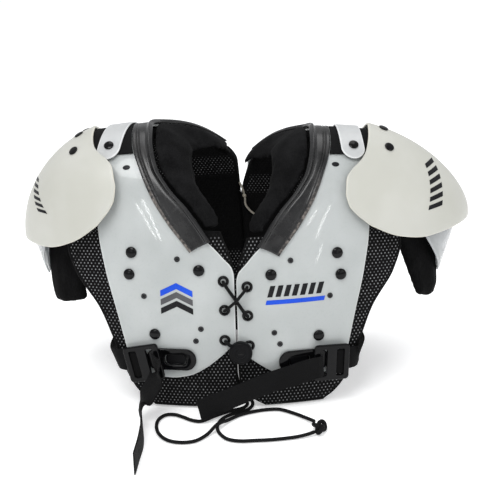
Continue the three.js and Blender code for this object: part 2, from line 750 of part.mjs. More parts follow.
function epaulet(side) {
  const rows = 9;
  const columns = 12;
  const faces = [0, EPAULET_WALL].map((inset) => {
    const face = [];
    for (let i = 0; i <= rows; i += 1) {
      const up = i / rows;
      const spread = readTable(CAP_SPREAD, 'up', 'azimuth', up);
      const row = [];
      for (let j = 0; j <= columns; j += 1) {
        const azimuth = mix(-spread, spread, j / columns);
        const rim = readTable(CAP_RIM, 'azimuth', 'pitch', Math.abs(azimuth));
        const top = CAP_SPAN[side.name].top - CAP_CORNER_FALL * (azimuth / spread) ** 2;
        const pitch = mix(rim - CAP_SPAN[side.name].sag, top, up);
        row.push(hinged(side, HANG[side.name].cap, capPoint(side, azimuth, pitch, inset)));
      }
      face.push(row);
    }
    return face;
  });
  return gridSolid(faces[0], faces[1]);
}

// A curved wall round the arm, level by level, between its outer and inner faces.
function armWall(side, hang, levels, columns, wall, lowestRise) {
  const faces = [0, wall].map((inset) =>
    levels.map((level, i) => {
      const row = [];
      for (let j = 0; j <= columns; j += 1) {
        const share = mix(-1, 1, j / columns);
        const azimuth = (share * level.azimuth * Math.PI) / 180;
        const low = i / (levels.length - 1);
        const height = level.height * ARCH_HEIGHT + lowestRise * low * Math.abs(share) ** 1.5;
        const point = new THREE.Vector3(
          level.centre * ARCH_WIDTH + (level.reach * ARCH_WIDTH - inset) * Math.cos(azimuth),
          (level.depth * CHEST_DEPTH - inset) * Math.sin(azimuth),
          height,
        );
        row.push(hinged(side, hang, point));
      }
      return row;
    }),
  );
  return gridSolid(faces[0], faces[1]);
}

function shoulderCup(side) {
  const hang = HANG[side.name].cup;
  const levels = CUP_LEVELS.map((level, i) => ({
    ...level,
    height: i === 0 ? CUP_TOP[side.name] : level.height,
    reach: level.reach + (hang.flare / ARCH_WIDTH) * level.flare,
    azimuth: level.azimuth * (level.height < CUP_SPREAD_BELOW ? hang.spread : 1),
  }));
  return armWall(side, hang, levels, 6, CUP_WALL, 0);
}

function deltoidPad(side) {
  const spread = DELTOID_SPREAD[side.name];
  const high = DELTOID_LEVELS[0].height;
  const low = DELTOID_LEVELS[DELTOID_LEVELS.length - 1].height;
  const levels = DELTOID_LEVELS.map((level) => ({
    ...level,
    reach: level.reach + DELTOID_SWELL[side.name] / ARCH_WIDTH,
    azimuth: mix(spread.high, spread.low, ((high - level.height) / (high - low)) ** 1.6),
  }));
  return armWall(side, HANG[side.name].pad, levels, 8, DELTOID_WALL, DELTOID_FRONT_RISE);
}

// A body of revolution about Z, closed where its profile starts and ends on the axis.
function turned(profile, sides) {
  const points = [];
  const index = [];
  const rings = profile.map(([radius, height]) => {
    if (radius === 0) {
      points.push(new THREE.Vector3(0, 0, height));
      return [points.length - 1];
    }
    const ring = [];
    for (let i = 0; i < sides; i += 1) {
      const angle = (2 * Math.PI * i) / sides;
      points.push(new THREE.Vector3(radius * Math.cos(angle), radius * Math.sin(angle), height));
      ring.push(points.length - 1);
    }
    return ring;
  });
  const joined = profile[0][0] === 0 ? rings : [...rings, rings[0]];
  for (let r = 0; r < joined.length - 1; r += 1) {
    const [a, b] = [joined[r], joined[r + 1]];
    for (let i = 0; i < sides; i += 1) {
      const next = (i + 1) % sides;
      if (a.length > 1) {
        index.push(a[i], a[next], b[b.length > 1 ? next : 0]);
      }
      if (b.length > 1) {
        index.push(a[a.length > 1 ? i : 0], b[next], b[i]);
      }
    }
  }
  return facingOut(points, index);
}

function domeRivet(diameter) {
  const r = diameter / 2;
  return turned([[0, 0], [r, 0], [r * 0.96, r * 0.2], [r * 0.62, r * 0.48], [0, r * 0.58]], 8);
}

function eyeletRing() {
  const r = EYELET / 2;
  const bore = EYELET_BORE / 2;
  const high = 2;
  return turned([[r, 0], [r * 0.8, high], [bore + 0.4, high], [bore, 0]], 10);
}

// Finds the outer face of a mesh under a point, looking along a direction.
function surfaceUnder(mesh, from, direction) {
  mesh.updateMatrixWorld(true);
  const caster = new THREE.Raycaster(from, direction.clone().normalize());
  const hit = caster.intersectObject(mesh, false)[0];
  return { point: hit.point, normal: hit.face.normal.clone() };
}

// Moves a geometry built about Z so that its base sits just off a surface.
function seat(geometry, hit, gap, spin = 0) {
  const turn = new THREE.Quaternion().setFromUnitVectors(
    new THREE.Vector3(0, 0, 1),
    hit.normal,
  );
  const twist = new THREE.Quaternion().setFromAxisAngle(new THREE.Vector3(0, 0, 1), spin);
  geometry.applyQuaternion(twist);
  geometry.applyQuaternion(turn);
  const place = hit.point.clone().addScaledVector(hit.normal, gap);
  geometry.translate(place.x, place.y, place.z);
  return geometry;
}

function chestHit(mesh, side, out, rise) {
  const turn = turnAtRise(rise);
  const on = archPoint(side, out * ARCH_WIDTH, turn, 0);
  const off = archPoint(side, out * ARCH_WIDTH, turn, 30);
  return surfaceUnder(mesh, off, on.clone().sub(off));
}

// A tube along a route, closed by flat ends.
function cordTube(route, diameter, sides) {
  const points = [];
  const index = [];
  let across = new THREE.Vector3(0, 0, 1);
  route.forEach((here, i) => {
    const before = route[Math.max(i - 1, 0)];
    const after = route[Math.min(i + 1, route.length - 1)];
    const along = after.clone().sub(before).normalize();
    across = across.clone().addScaledVector(along, -across.dot(along));
    if (across.length() < 0.05) {
      across.set(along.y, along.z, along.x).addScaledVector(along, -0.1);
      across.addScaledVector(along, -across.dot(along));
    }
    across.normalize();
    const aside = new THREE.Vector3().crossVectors(along, across);
    for (let s = 0; s < sides; s += 1) {
      const angle = (2 * Math.PI * s) / sides;
      const point = here.clone();
      point.addScaledVector(across, (Math.cos(angle) * diameter) / 2);
      point.addScaledVector(aside, (Math.sin(angle) * diameter) / 2);
      points.push(point);
    }
  });
  const last = route.length - 1;
  for (let i = 0; i < last; i += 1) {
    for (let s = 0; s < sides; s += 1) {
      const next = (s + 1) % sides;
      const a = i * sides;
      const b = (i + 1) * sides;
      index.push(a + s, a + next, b + next, a + s, b + next, b + s);
    }
  }
  for (let s = 1; s < sides - 1; s += 1) {
    index.push(0, s + 1, s);
    index.push(last * sides, last * sides + s, last * sides + s + 1);
  }
  return facingOut(points, index);
}

// A flat web along a route, each row with its point and the direction across the width.
function webStrip(route, width, wall) {
  const upper = [];
  const lower = [];
  route.forEach((row, i) => {
    const before = route[Math.max(i - 1, 0)].at;
    const after = route[Math.min(i + 1, route.length - 1)].at;
    const along = after.clone().sub(before).normalize();
    const across = row.across.clone().addScaledVector(along, -row.across.dot(along)).normalize();
    const normal = new THREE.Vector3().crossVectors(along, across);
    const half = (row.width || width) / 2;
    const edgeAt = (side, up) =>
      row.at.clone().addScaledVector(across, side * half).addScaledVector(normal, up * wall / 2);
    upper.push([edgeAt(-1, 1), edgeAt(1, 1)]);
    lower.push([edgeAt(-1, -1), edgeAt(1, -1)]);
  });
  return gridSolid(upper, lower);
}

// A flat outline with holes, given depth along Z from zero.
function slab(shape, depth) {
  const geometry = new THREE.ExtrudeGeometry(shape, { depth, bevelEnabled: false, curveSegments: 4 });
  return geometry;
}

function roundedBox(path, x, y, width, height, radius) {
  const [left, right] = [x - width / 2, x + width / 2];
  const [low, high] = [y - height / 2, y + height / 2];
  path.moveTo(left + radius, low);
  path.lineTo(right - radius, low);
  path.absarc(right - radius, low + radius, radius, -Math.PI / 2, 0, false);
  path.lineTo(right, high - radius);
  path.absarc(right - radius, high - radius, radius, 0, Math.PI / 2, false);
  path.lineTo(left + radius, high);
  path.absarc(left + radius, high - radius, radius, Math.PI / 2, Math.PI, false);
  path.lineTo(left, low + radius);
  path.absarc(left + radius, low + radius, radius, Math.PI, Math.PI * 1.5, false);
  return path;
}

// The slotted bracket: its window sits towards the mid-plane.
function strapAnchor(side) {
  const shape = roundedBox(new THREE.Shape(), 0, 0, ANCHOR_LENGTH, ANCHOR_HEIGHT, ANCHOR_HEIGHT * 0.48);
  const centre = -side.sign * ANCHOR_LENGTH * 0.085;
  shape.holes.push(roundedBox(new THREE.Path(), centre, 0, ANCHOR_LENGTH * 0.42, 11.5, 4));
  return slab(shape, ANCHOR_WALL);
}

// A three-bar buckle with two upright slots.
function strapBuckle() {
  const shape = roundedBox(new THREE.Shape(), 0, 0, BUCKLE_WIDTH, BUCKLE_HEIGHT, 4);
  [-1, 1].forEach((way) => {
    const slot = roundedBox(new THREE.Path(), way * BUCKLE_SLOT_OFFSET, 0, BUCKLE_SLOT, SLOT_HEIGHT, 1.5);
    shape.holes.push(slot);
  });
  return slab(shape, BUCKLE_WALL);
}

// Seats a flat part on a surface with its own X axis kept level, then spun in its plane.
function seatLevel(geometry, hit, gap, spin = 0) {
  const z = hit.normal.clone();
  const x = new THREE.Vector3(1, 0, 0).addScaledVector(z, -z.x).normalize();
  const y = new THREE.Vector3().crossVectors(z, x);
  geometry.applyMatrix4(new THREE.Matrix4().makeRotationZ(spin));
  geometry.applyMatrix4(new THREE.Matrix4().makeBasis(x, y, z));
  const place = hit.point.clone().addScaledVector(z, gap);
  geometry.translate(place.x, place.y, place.z);
  return geometry;
}

function vectors(rows) {
  return rows.map(([x, y, z]) => new THREE.Vector3(x, y, z));
}

// A smooth route through hand-set points, sampled evenly.
function smoothRoute(points, count) {
  const curve = new THREE.CatmullRomCurve3(points, false, 'centripetal');
  return curve.getSpacedPoints(count);
}

const shapes = {};

function addShells(side) {
  const add = (part, geometry, finish) => addMesh(`${side.name}_${part}`, geometry, finish);
  shapes[side.name] = {
    plate: add('arch_plate', archPlate(side), MATERIALS.plate),
    liner: add('body_liner', bodyLiner(side), MATERIALS.liner),
    trim: add('neck_trim', neckTrim(side), MATERIALS.trim),
    neckPad: add('neck_pad', neckPad(side), MATERIALS.pad),
    web: add('shoulder_web', shoulderWeb(side), MATERIALS.web),
    tab: add('web_tab', webTab(side), MATERIALS.tab),
    epaulet: add('epaulet', epaulet(side), MATERIALS.epaulet),
    cup: add('shoulder_cup', shoulderCup(side), MATERIALS.cup),
    deltoid: add('deltoid_pad', deltoidPad(side), MATERIALS.pad),
  };
}

function addRivets(side) {
  const parts = shapes[side.name];
  const add = (part, geometry) => addMesh(`${side.name}_${part}`, geometry, MATERIALS.hardware);
  CHEST_DOMES.forEach((row) => {
    const hit = chestHit(parts.plate, side, row.out, row.rise);
    add(`${row.name}_rivet`, seat(domeRivet(DOME_RIVET), hit, SEAT_GAP));
  });
  EYELETS.forEach((row) => {
    const hit = chestHit(parts.plate, side, row.out, row.rise);
    add(`${row.name}_eyelet`, seat(eyeletRing(), hit, SEAT_GAP));
    parts[`${row.name}Eyelet`] = hit;
  });
  TAB_RIVETS.forEach((row) => {
    const on = archPoint(side, row.out * ARCH_WIDTH, row.turn, 0);
    const off = archPoint(side, row.out * ARCH_WIDTH, row.turn, 40);
    const hit = surfaceUnder(parts.tab, off, on.clone().sub(off));
    add(`tab_${row.name}_rivet`, seat(domeRivet(TAB_RIVET), hit, SEAT_GAP));
  });
  CAP_RIVETS.forEach((row) => {
    const from = new THREE.Vector3(
      side.sign * row.out * ARCH_WIDTH,
      row.back * CHEST_DEPTH,
      ARCH_HEIGHT + 60,
    );
    const hit = surfaceUnder(parts.epaulet, from, new THREE.Vector3(0, 0, -1));
    add(`epaulet_${row.name}_rivet`, seat(domeRivet(TAB_RIVET), hit, 2 * SEAT_GAP));
  });
}

function addBuckle(side) {
  const parts = shapes[side.name];
  const anchorHit = chestHit(parts.plate, side, ANCHOR_OUT, BUCKLE_RISE);
  const anchor = seatLevel(strapAnchor(side), anchorHit, SEAT_GAP);
  addMesh(`${side.name}_strap_anchor`, anchor, MATERIALS.hardware);
  const buckleHit = chestHit(parts.plate, side, BUCKLE_OUT, BUCKLE_RISE - 0.012);
  const spin = (BUCKLE_SPIN[side.name] * Math.PI) / 180;
  const buckle = seatLevel(strapBuckle(), buckleHit, BUCKLE_STANDOFF, spin);
  addMesh(`${side.name}_strap_buckle`, buckle, MATERIALS.hardware);
}

// The web that comes from the back, round the side, into the buckle's outer slot.
function addSideStrap(side) {
  const route = SIDE_STRAP.map((row) => {
    const back = row.back * (row.back > 0 ? BACK_DEPTH : CHEST_DEPTH);
    const out = row.out * ARCH_WIDTH;
    const at = row.turn === undefined
      ? new THREE.Vector3(side.sign * out + driftAt(back), back, row.height * ARCH_HEIGHT)
      : archPoint(side, out, row.turn, row.lift);
    return { at, across: new THREE.Vector3(side.sign * row.lean, 0, 1) };
  });
  const strap = webStrip(route, STRAP_WIDTH, STRAP_WALL);
  addMesh(`${side.name}_side_strap`, strap, MATERIALS.web);
}

function addStrapTail(side) {
  const route = STRAP_TAILS[side.name].map((row) => ({
    at: new THREE.Vector3(
      row.x * ARCH_WIDTH,
      row.y * CHEST_DEPTH,
      row.z === 0 ? STRAP_WIDTH / 2 + TAIL_CLEARANCE : row.z * ARCH_HEIGHT,
    ),
    across: new THREE.Vector3(row.ax, row.ay, row.az),
    width: row.width,
  }));
  const strap = webStrip(route, STRAP_WIDTH, STRAP_WALL);
  addMesh(`${side.name}_strap_tail`, strap, MATERIALS.web);
}

// A lace strand between two eyelets, lifted off the plates at shares of its length.
function laceStrand(from, to, lifts) {
  const dip = 1.6 + LACE / 2;
  const start = from.point.clone().addScaledVector(from.normal, dip);
  const finish = to.point.clone().addScaledVector(to.normal, dip);
  const points = [start];
  lifts.forEach((row) => {
    const point = start.clone().lerp(finish, row.share);
    point.y -= row.lift;
    points.push(point);
  });
  points.push(finish);
  return cordTube(points, LACE, 6);
}

function addFrontLace() {
  const { left, right } = shapes;
  const add = (name, geometry) => addMesh(name, geometry, MATERIALS.lace);
  add('front_lace_under', laceStrand(left.topEyelet, right.middleEyelet, LACE_UNDER));
  add('front_lace_over', laceStrand(left.middleEyelet, right.topEyelet, LACE_OVER));
}

function addLock() {
  const lock = turned(
    [[0, 0], [LOCK_DIAMETER * 0.47, 0], [LOCK_DIAMETER * 0.5, LOCK_WALL * 0.25],
      [LOCK_DIAMETER * 0.5, LOCK_WALL * 0.75], [LOCK_DIAMETER * 0.46, LOCK_WALL],
      [0, LOCK_WALL * 0.94]],
    16,
  );
  const hit = { point: new THREE.Vector3(LOCK.x, LOCK.y, LOCK.z), normal: new THREE.Vector3(0, -1, 0) };
  addMesh('cord_lock', seat(lock, hit, 0), MATERIALS.hardware);
}

function addLaceTails() {
  const upper = smoothRoute(vectors(TAIL_LONG), 43);
  const lower = smoothRoute(vectors(TAIL_SHORT), 29);
  addMesh('lace_tail_long', cordTube(upper, LACE, 5), MATERIALS.lace);
  addMesh('lace_tail_short', cordTube(lower, LACE, 5), MATERIALS.lace);
  const knot = turned([[0, 0], [7, 1.5], [9.5, 5], [7, 9], [0, 10.5]], 10);
  knot.scale(1, 1.35, 1);
  knot.translate(KNOT.x, KNOT.y, KNOT.z);
  addMesh('lace_knot', knot, MATERIALS.lace);
}

function addBackLace() {
  const cord = cordTube(smoothRoute(vectors(BACK_LACE), 14), BACK_LACE_DIAMETER, 6);
  addMesh('back_lace', cord, MATERIALS.cord);
}

// Sets the origin under the middle of the whole pad's box, loose lace left out.
function centreOnFloor() {
  const box = new THREE.Box3();
  group.children.forEach((mesh) => {
    if (!LOOSE_LACE.includes(mesh.name)) {
      box.expandByObject(mesh, true);
    }
  });
  const middle = box.getCenter(new THREE.Vector3());
  group.children.forEach((mesh) => mesh.geometry.translate(-middle.x, -middle.y, -box.min.z));
}

SIDES.forEach((side) => {
  addShells(side);
  addRivets(side);
  addBuckle(side);
  addSideStrap(side);
  addStrapTail(side);
});
addFrontLace();
addLock();
addLaceTails();
addBackLace();
centreOnFloor();

export default group;
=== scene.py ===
"""Dresses the football shoulder pad's frame with its visible surfaces, in the row frame.

Lengths are millimetres in the pad's own design frame, where x = 0 is the mid-plane of the
chest, y = 0 lies under the crest and z = 0 is the floor. Bench turns them into metres in
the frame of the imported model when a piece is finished.
"""

import itertools
import logging
import math
from bisect import bisect_left, bisect_right
from dataclasses import dataclass, field
from enum import Enum
from typing import Callable, Sequence

import bmesh
import bpy
from mathutils import Matrix, Vector, noise

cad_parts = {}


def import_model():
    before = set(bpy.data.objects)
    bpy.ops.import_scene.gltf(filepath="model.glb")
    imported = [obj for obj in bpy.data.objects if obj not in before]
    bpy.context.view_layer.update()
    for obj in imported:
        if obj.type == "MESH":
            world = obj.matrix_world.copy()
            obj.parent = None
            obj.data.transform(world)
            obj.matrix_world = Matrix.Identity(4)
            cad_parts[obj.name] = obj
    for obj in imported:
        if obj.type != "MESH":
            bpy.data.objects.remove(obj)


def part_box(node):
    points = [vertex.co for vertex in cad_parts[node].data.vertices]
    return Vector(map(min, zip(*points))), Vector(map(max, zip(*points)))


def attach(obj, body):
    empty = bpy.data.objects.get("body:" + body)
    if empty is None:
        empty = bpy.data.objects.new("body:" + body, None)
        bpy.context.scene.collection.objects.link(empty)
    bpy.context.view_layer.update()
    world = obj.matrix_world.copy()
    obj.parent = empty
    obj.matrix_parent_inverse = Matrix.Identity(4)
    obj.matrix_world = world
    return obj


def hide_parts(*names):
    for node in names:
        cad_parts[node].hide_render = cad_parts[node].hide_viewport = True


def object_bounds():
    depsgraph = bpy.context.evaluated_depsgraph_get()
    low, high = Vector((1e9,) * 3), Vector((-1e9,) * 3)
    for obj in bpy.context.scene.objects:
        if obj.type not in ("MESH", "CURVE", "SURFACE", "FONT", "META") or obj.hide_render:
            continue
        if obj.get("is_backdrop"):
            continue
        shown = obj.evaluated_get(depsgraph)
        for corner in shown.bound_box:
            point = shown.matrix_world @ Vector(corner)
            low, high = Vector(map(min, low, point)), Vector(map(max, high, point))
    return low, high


LOG = logging.getLogger("shoulder_pad")

Mesh = bmesh.types.BMesh
Socket = bpy.types.NodeSocket
Material = bpy.types.Material
Triple = tuple[float, float, float]
Pair = tuple[float, float]
Pairs = Sequence[Pair]
Path = Sequence[Vector]
Spot = tuple[Vector, Pair, float]
Surface = Callable[[float, float, float], Vector]
Field = Callable[[float, float], float]
Curve = Callable[[float], float]

RIM_STEPS = 4
HINGE_OUT = 150.0
HINGE_HEIGHT = 283.0
CLOTH_STEPS = 20
WEB_WIDTH = 25.0


# Numbers and curves


def mix(low: float, high: float, share: float) -> float:
    """Goes from low to high as share goes from 0 to 1."""
    return low + (high - low) * share


def smooth_table(rows: Pairs) -> Curve:
    """Makes a curve that passes through the rows of a table without overshooting.

    Args:
        rows: pairs of place and value, with the places rising.

    Returns:
        A function of the place, level beyond the first and last rows.
    """
    xs = [row[0] for row in rows]
    ys = [row[1] for row in rows]
    slopes = [(ys[i + 1] - ys[i]) / (xs[i + 1] - xs[i]) for i in range(len(xs) - 1)]
    tangents = [slopes[0]]
    for before, after in zip(slopes, slopes[1:]):
        same_way = before * after > 0
        tangents.append(2 * before * after / (before + after) if same_way else 0.0)
    tangents.append(slopes[-1])

    def read(at: float) -> float:
        """Reads the curve.

        Args:
            at: the place.

        Returns:
            The value there.
        """
        at = min(max(at, xs[0]), xs[-1])
        i = max(bisect_left(xs, at) - 1, 0)
        gap = xs[i + 1] - xs[i]
        t = (at - xs[i]) / gap
        a = ys[i] * (1 + 2 * t) + tangents[i] * gap * t
        b = ys[i + 1] * (3 - 2 * t) + tangents[i + 1] * gap * (t - 1)
        return a * (1 - t) ** 2 + b * t**2

    return read


def by_side(left: object, right: object) -> object:
    """A field with one value for each half of the pad."""
    return field(default_factory=lambda: {"left": left, "right": right})


def bell(at: float, centre: float, width: float) -> float:
    """A smooth hump of height 1 at the centre."""
    return math.exp(-(((at - centre) / width) ** 2))


def catmull(points: Path, spacing: float) -> list[Vector]:
    """Draws a smooth open curve through points.

    Args:
        points: the points that the curve passes through.
        spacing: about how far apart the returned points are.

    Returns:
        Points along the curve, its first and last point among them.
    """
    ends = [2 * points[0] - points[1], 2 * points[-1] - points[-2]]
    chain = [ends[0], *points, ends[1]]
    dense: list[Vector] = [points[0].copy()]
    for a, b, c, d in zip(chain, chain[1:], chain[2:], chain[3:]):
        t1 = (b - a).length ** 0.5
        t2 = t1 + (c - b).length ** 0.5
        t3 = t2 + (d - c).length ** 0.5
        steps = max(3, int((c - b).length / spacing * 2))
        for k in range(1, steps + 1):
            t = mix(t1, t2, k / steps)
            p = a * ((t1 - t) / t1) + b * (t / t1)
            q = b * ((t2 - t) / (t2 - t1)) + c * ((t - t1) / (t2 - t1))
            r = c * ((t3 - t) / (t3 - t2)) + d * ((t - t2) / (t3 - t2))
            u = p * ((t2 - t) / t2) + q * (t / t2)
            w = q * ((t3 - t) / (t3 - t1)) + r * ((t - t1) / (t3 - t1))
            dense.append(u * ((t2 - t) / (t2 - t1)) + w * ((t - t1) / (t2 - t1)))
    total = path_length(dense)
    count = max(4, round(total / spacing))
    return walk(dense, [total * k / count for k in range(count + 1)])


def path_length(path: Path) -> float:
    """The length of a chain of points."""
    return sum((b - a).length for a, b in zip(path, path[1:]))


def walk(path: Path, distances: Sequence[float]) -> list[Vector]:
    """Finds the points of a path at rising distances from its start.

    Args:
        path: a chain of points.
        distances: how far along each wanted point lies.

    Returns:
        One point for each distance.
    """
    found: list[Vector] = []
    at = 0.0
    i = 0
    for distance in distances:
        while i < len(path) - 2 and at + (path[i + 1] - path[i]).length < distance:
            at += (path[i + 1] - path[i]).length
            i += 1
        gap = max((path[i + 1] - path[i]).length, 1e-9)
        found.append(path[i].lerp(path[i + 1], min(1.0, (distance - at) / gap)))
    return found


def spread(count: int, length: float, rim: float) -> list[float]:
    """Shares from 0 to 1 that lie close together within the rim at both ends.

    Args:
        count: the number of even steps between the rims.
        length: the whole length that the shares divide.
        rim: the width of the rim, in the same unit as the length.

    Returns:
        The rising shares.
    """
    rim = min(rim, 0.42 * length)
    ends = [rim * (1 - math.cos(math.pi / 2 * k / RIM_STEPS)) / length for k in range(RIM_STEPS + 1)]
    last = ends[-1]
    inner = [last + (1 - 2 * last) * k / count for k in range(1, count)]
    return ends + inner + [1 - share for share in reversed(ends)]


# Materials


class Net:
    """Builds one material's nodes."""

    def __init__(self, name: str) -> None:
        """Starts a material with a Principled shader.

        Args:
            name: the material's name.
        """
        self.material = bpy.data.materials.new(name)
        self.material.use_nodes = True
        self.tree = self.material.node_tree
        self.shader = self.tree.nodes["Principled BSDF"]

    def set(self, **values: object) -> None:
        """Sets or links inputs of the shader, named with underscores for spaces."""
        for key, value in values.items():
            self.put(self.shader.inputs[key.replace("_", " ")], value)

    def put(self, socket: Socket, value: object) -> None:
        """Links a socket to an output, or sets it to a constant.

        Args:
            socket: the input.
            value: the output or the constant; three numbers make an opaque colour.
        """
        if isinstance(value, Socket):
            self.tree.links.new(value, socket)
        elif isinstance(value, tuple) and len(value) == 3 and socket.type == "RGBA":
            socket.default_value = (*value, 1.0)
        else:
            socket.default_value = value

    def node(self, kind: str, out: int | str = 0, **settings: object) -> Socket:
        """Adds a node.

        Args:
            kind: the node type, without its ShaderNode prefix.
            out: which output to return.
            **settings: properties of the node, or inputs as in_NAME or in_NUMBER.

        Returns:
            The chosen output socket.
        """
        made = self.tree.nodes.new("ShaderNode" + kind)
        for key, value in settings.items():
            if not key.startswith("in_"):
                setattr(made, key, value)
        for key, value in settings.items():
            if key.startswith("in_"):
                name = key[3:]
                index = int(name) if name.isdigit() else name.replace("_", " ")
                self.put(made.inputs[index], value)
        return made.outputs[out]

    def math(self, operation: str, a: object, b: object = 0.0) -> Socket:
        """One step of arithmetic."""
        return self.node("Math", operation=operation, in_0=a, in_1=b)

    def vector(self, operation: str, a: object, b: object = (0, 0, 0), out: int = 0) -> Socket:
        """One step of vector arithmetic."""
        return self.node("VectorMath", out=out, operation=operation, in_0=a, in_1=b)

    def noise(self, where: object, scale: float, detail: float = 2.0, rough: float = 0.5) -> Socket:
        """Smooth noise over a coordinate."""
        return self.node("TexNoise", in_Vector=where, in_Scale=scale, in_Detail=detail, in_Roughness=rough)

    def blend(self, share: object, low: object, high: object) -> Socket:
        """Mixes two colours."""
        return self.node("Mix", out=2, data_type="RGBA", in_0=share, in_6=low, in_7=high)

    def ease(
        self, value: object, low: float, high: float, to_low: float = 0.0, to_high: float = 1.0,
    ) -> Socket:
        """Maps a range smoothly to another."""
        return self.node(
            "MapRange", interpolation_type="SMOOTHSTEP",
            in_0=value, in_1=low, in_2=high, in_3=to_low, in_4=to_high,
        )

    def bump(
        self, height: object, distance: float, strength: float = 1.0, under: object = None,
    ) -> Socket:
        """Bumps the surface by a height, with its depth in metres, over another bump."""
        base = {} if under is None else {"in_Normal": under}
        return self.node("Bump", in_Height=height, in_Distance=distance, in_Strength=strength, **base)

    def object_place(self) -> Socket:
        """The place on the object, in metres."""
        return self.node("TexCoord", out="Object")

    def surface_place(self) -> Socket:
        """The piece's own UV, in millimetres."""
        return self.node("UVMap", uv_map="cloth")

    def rim(self) -> Socket:
        """How far the point lies from the piece's edge, in millimetres."""
        return self.node("Attribute", out="Fac", attribute_name="rim")


@dataclass(frozen=True)
class Plastic:
    """Moulded plastic, with faint waves, fine scuffs and an edge band in another colour (paler or darker);
    in every look here it is paler, a painted highlight of light caught by the rounded, translucent rim.
    """

    name: str
    colour: Triple
    shade: Triple
    roughness: float
    coat: float = 0.0
    gloss: float = 0.5
    scatter: float = 0.0
    clear: float = 0.0
    wave: float = 0.0
    wave_scale: float = 9.0
    # edge is the colour of a painted highlight band along the rim, and the width that follows is that band's
    # width in millimetres.
    edge: Triple | None = None
    rim_highlight_width: float = 2.0

    def build(self) -> Material:
        """Makes the material.

        Returns:
            The material.
        """
        net = Net(self.name)
        where = net.object_place()
        cloud = net.noise(where, 14.0, 3.0, 0.55)
        colour = net.blend(net.ease(cloud, 0.35, 0.68), self.colour, self.shade)
        # Painted highlight: the colour turns paler towards the rim, standing in for light caught by the rim.
        if self.edge is not None:
            near = net.ease(net.rim(), 0.0, self.rim_highlight_width, 1.0, 0.0)
            colour = net.blend(near, colour, self.edge)
        scuffs = net.noise(where, 420.0, 4.0, 0.7)
        rough = net.ease(scuffs, 0.3, 0.75, self.roughness * 0.85, self.roughness * 1.25)
        grain = net.bump(net.noise(where, 2600.0, 1.0), 0.00002, 0.5)
        if self.wave > 0:
            turn, stretch = (0.0, 0.5, 0.35), (2.2, 1.0, 0.45)
            stretched = net.node("Mapping", in_Vector=where, in_Rotation=turn, in_Scale=stretch)
            grain = net.bump(net.noise(stretched, self.wave_scale, 1.5, 0.45), self.wave, 1.0, under=grain)
        net.set(Base_Color=colour, Roughness=rough, Normal=grain, Coat_Weight=self.coat)
        net.set(Coat_Roughness=0.05, IOR=1.49, Specular_IOR_Level=self.gloss)
        if self.scatter > 0:
            net.set(Subsurface_Weight=self.scatter, Subsurface_Scale=0.004)
            net.set(Subsurface_Radius=(1.0, 1.05, 1.1))
        if self.clear > 0:
            net.set(Transmission_Weight=self.clear)
        return net.material


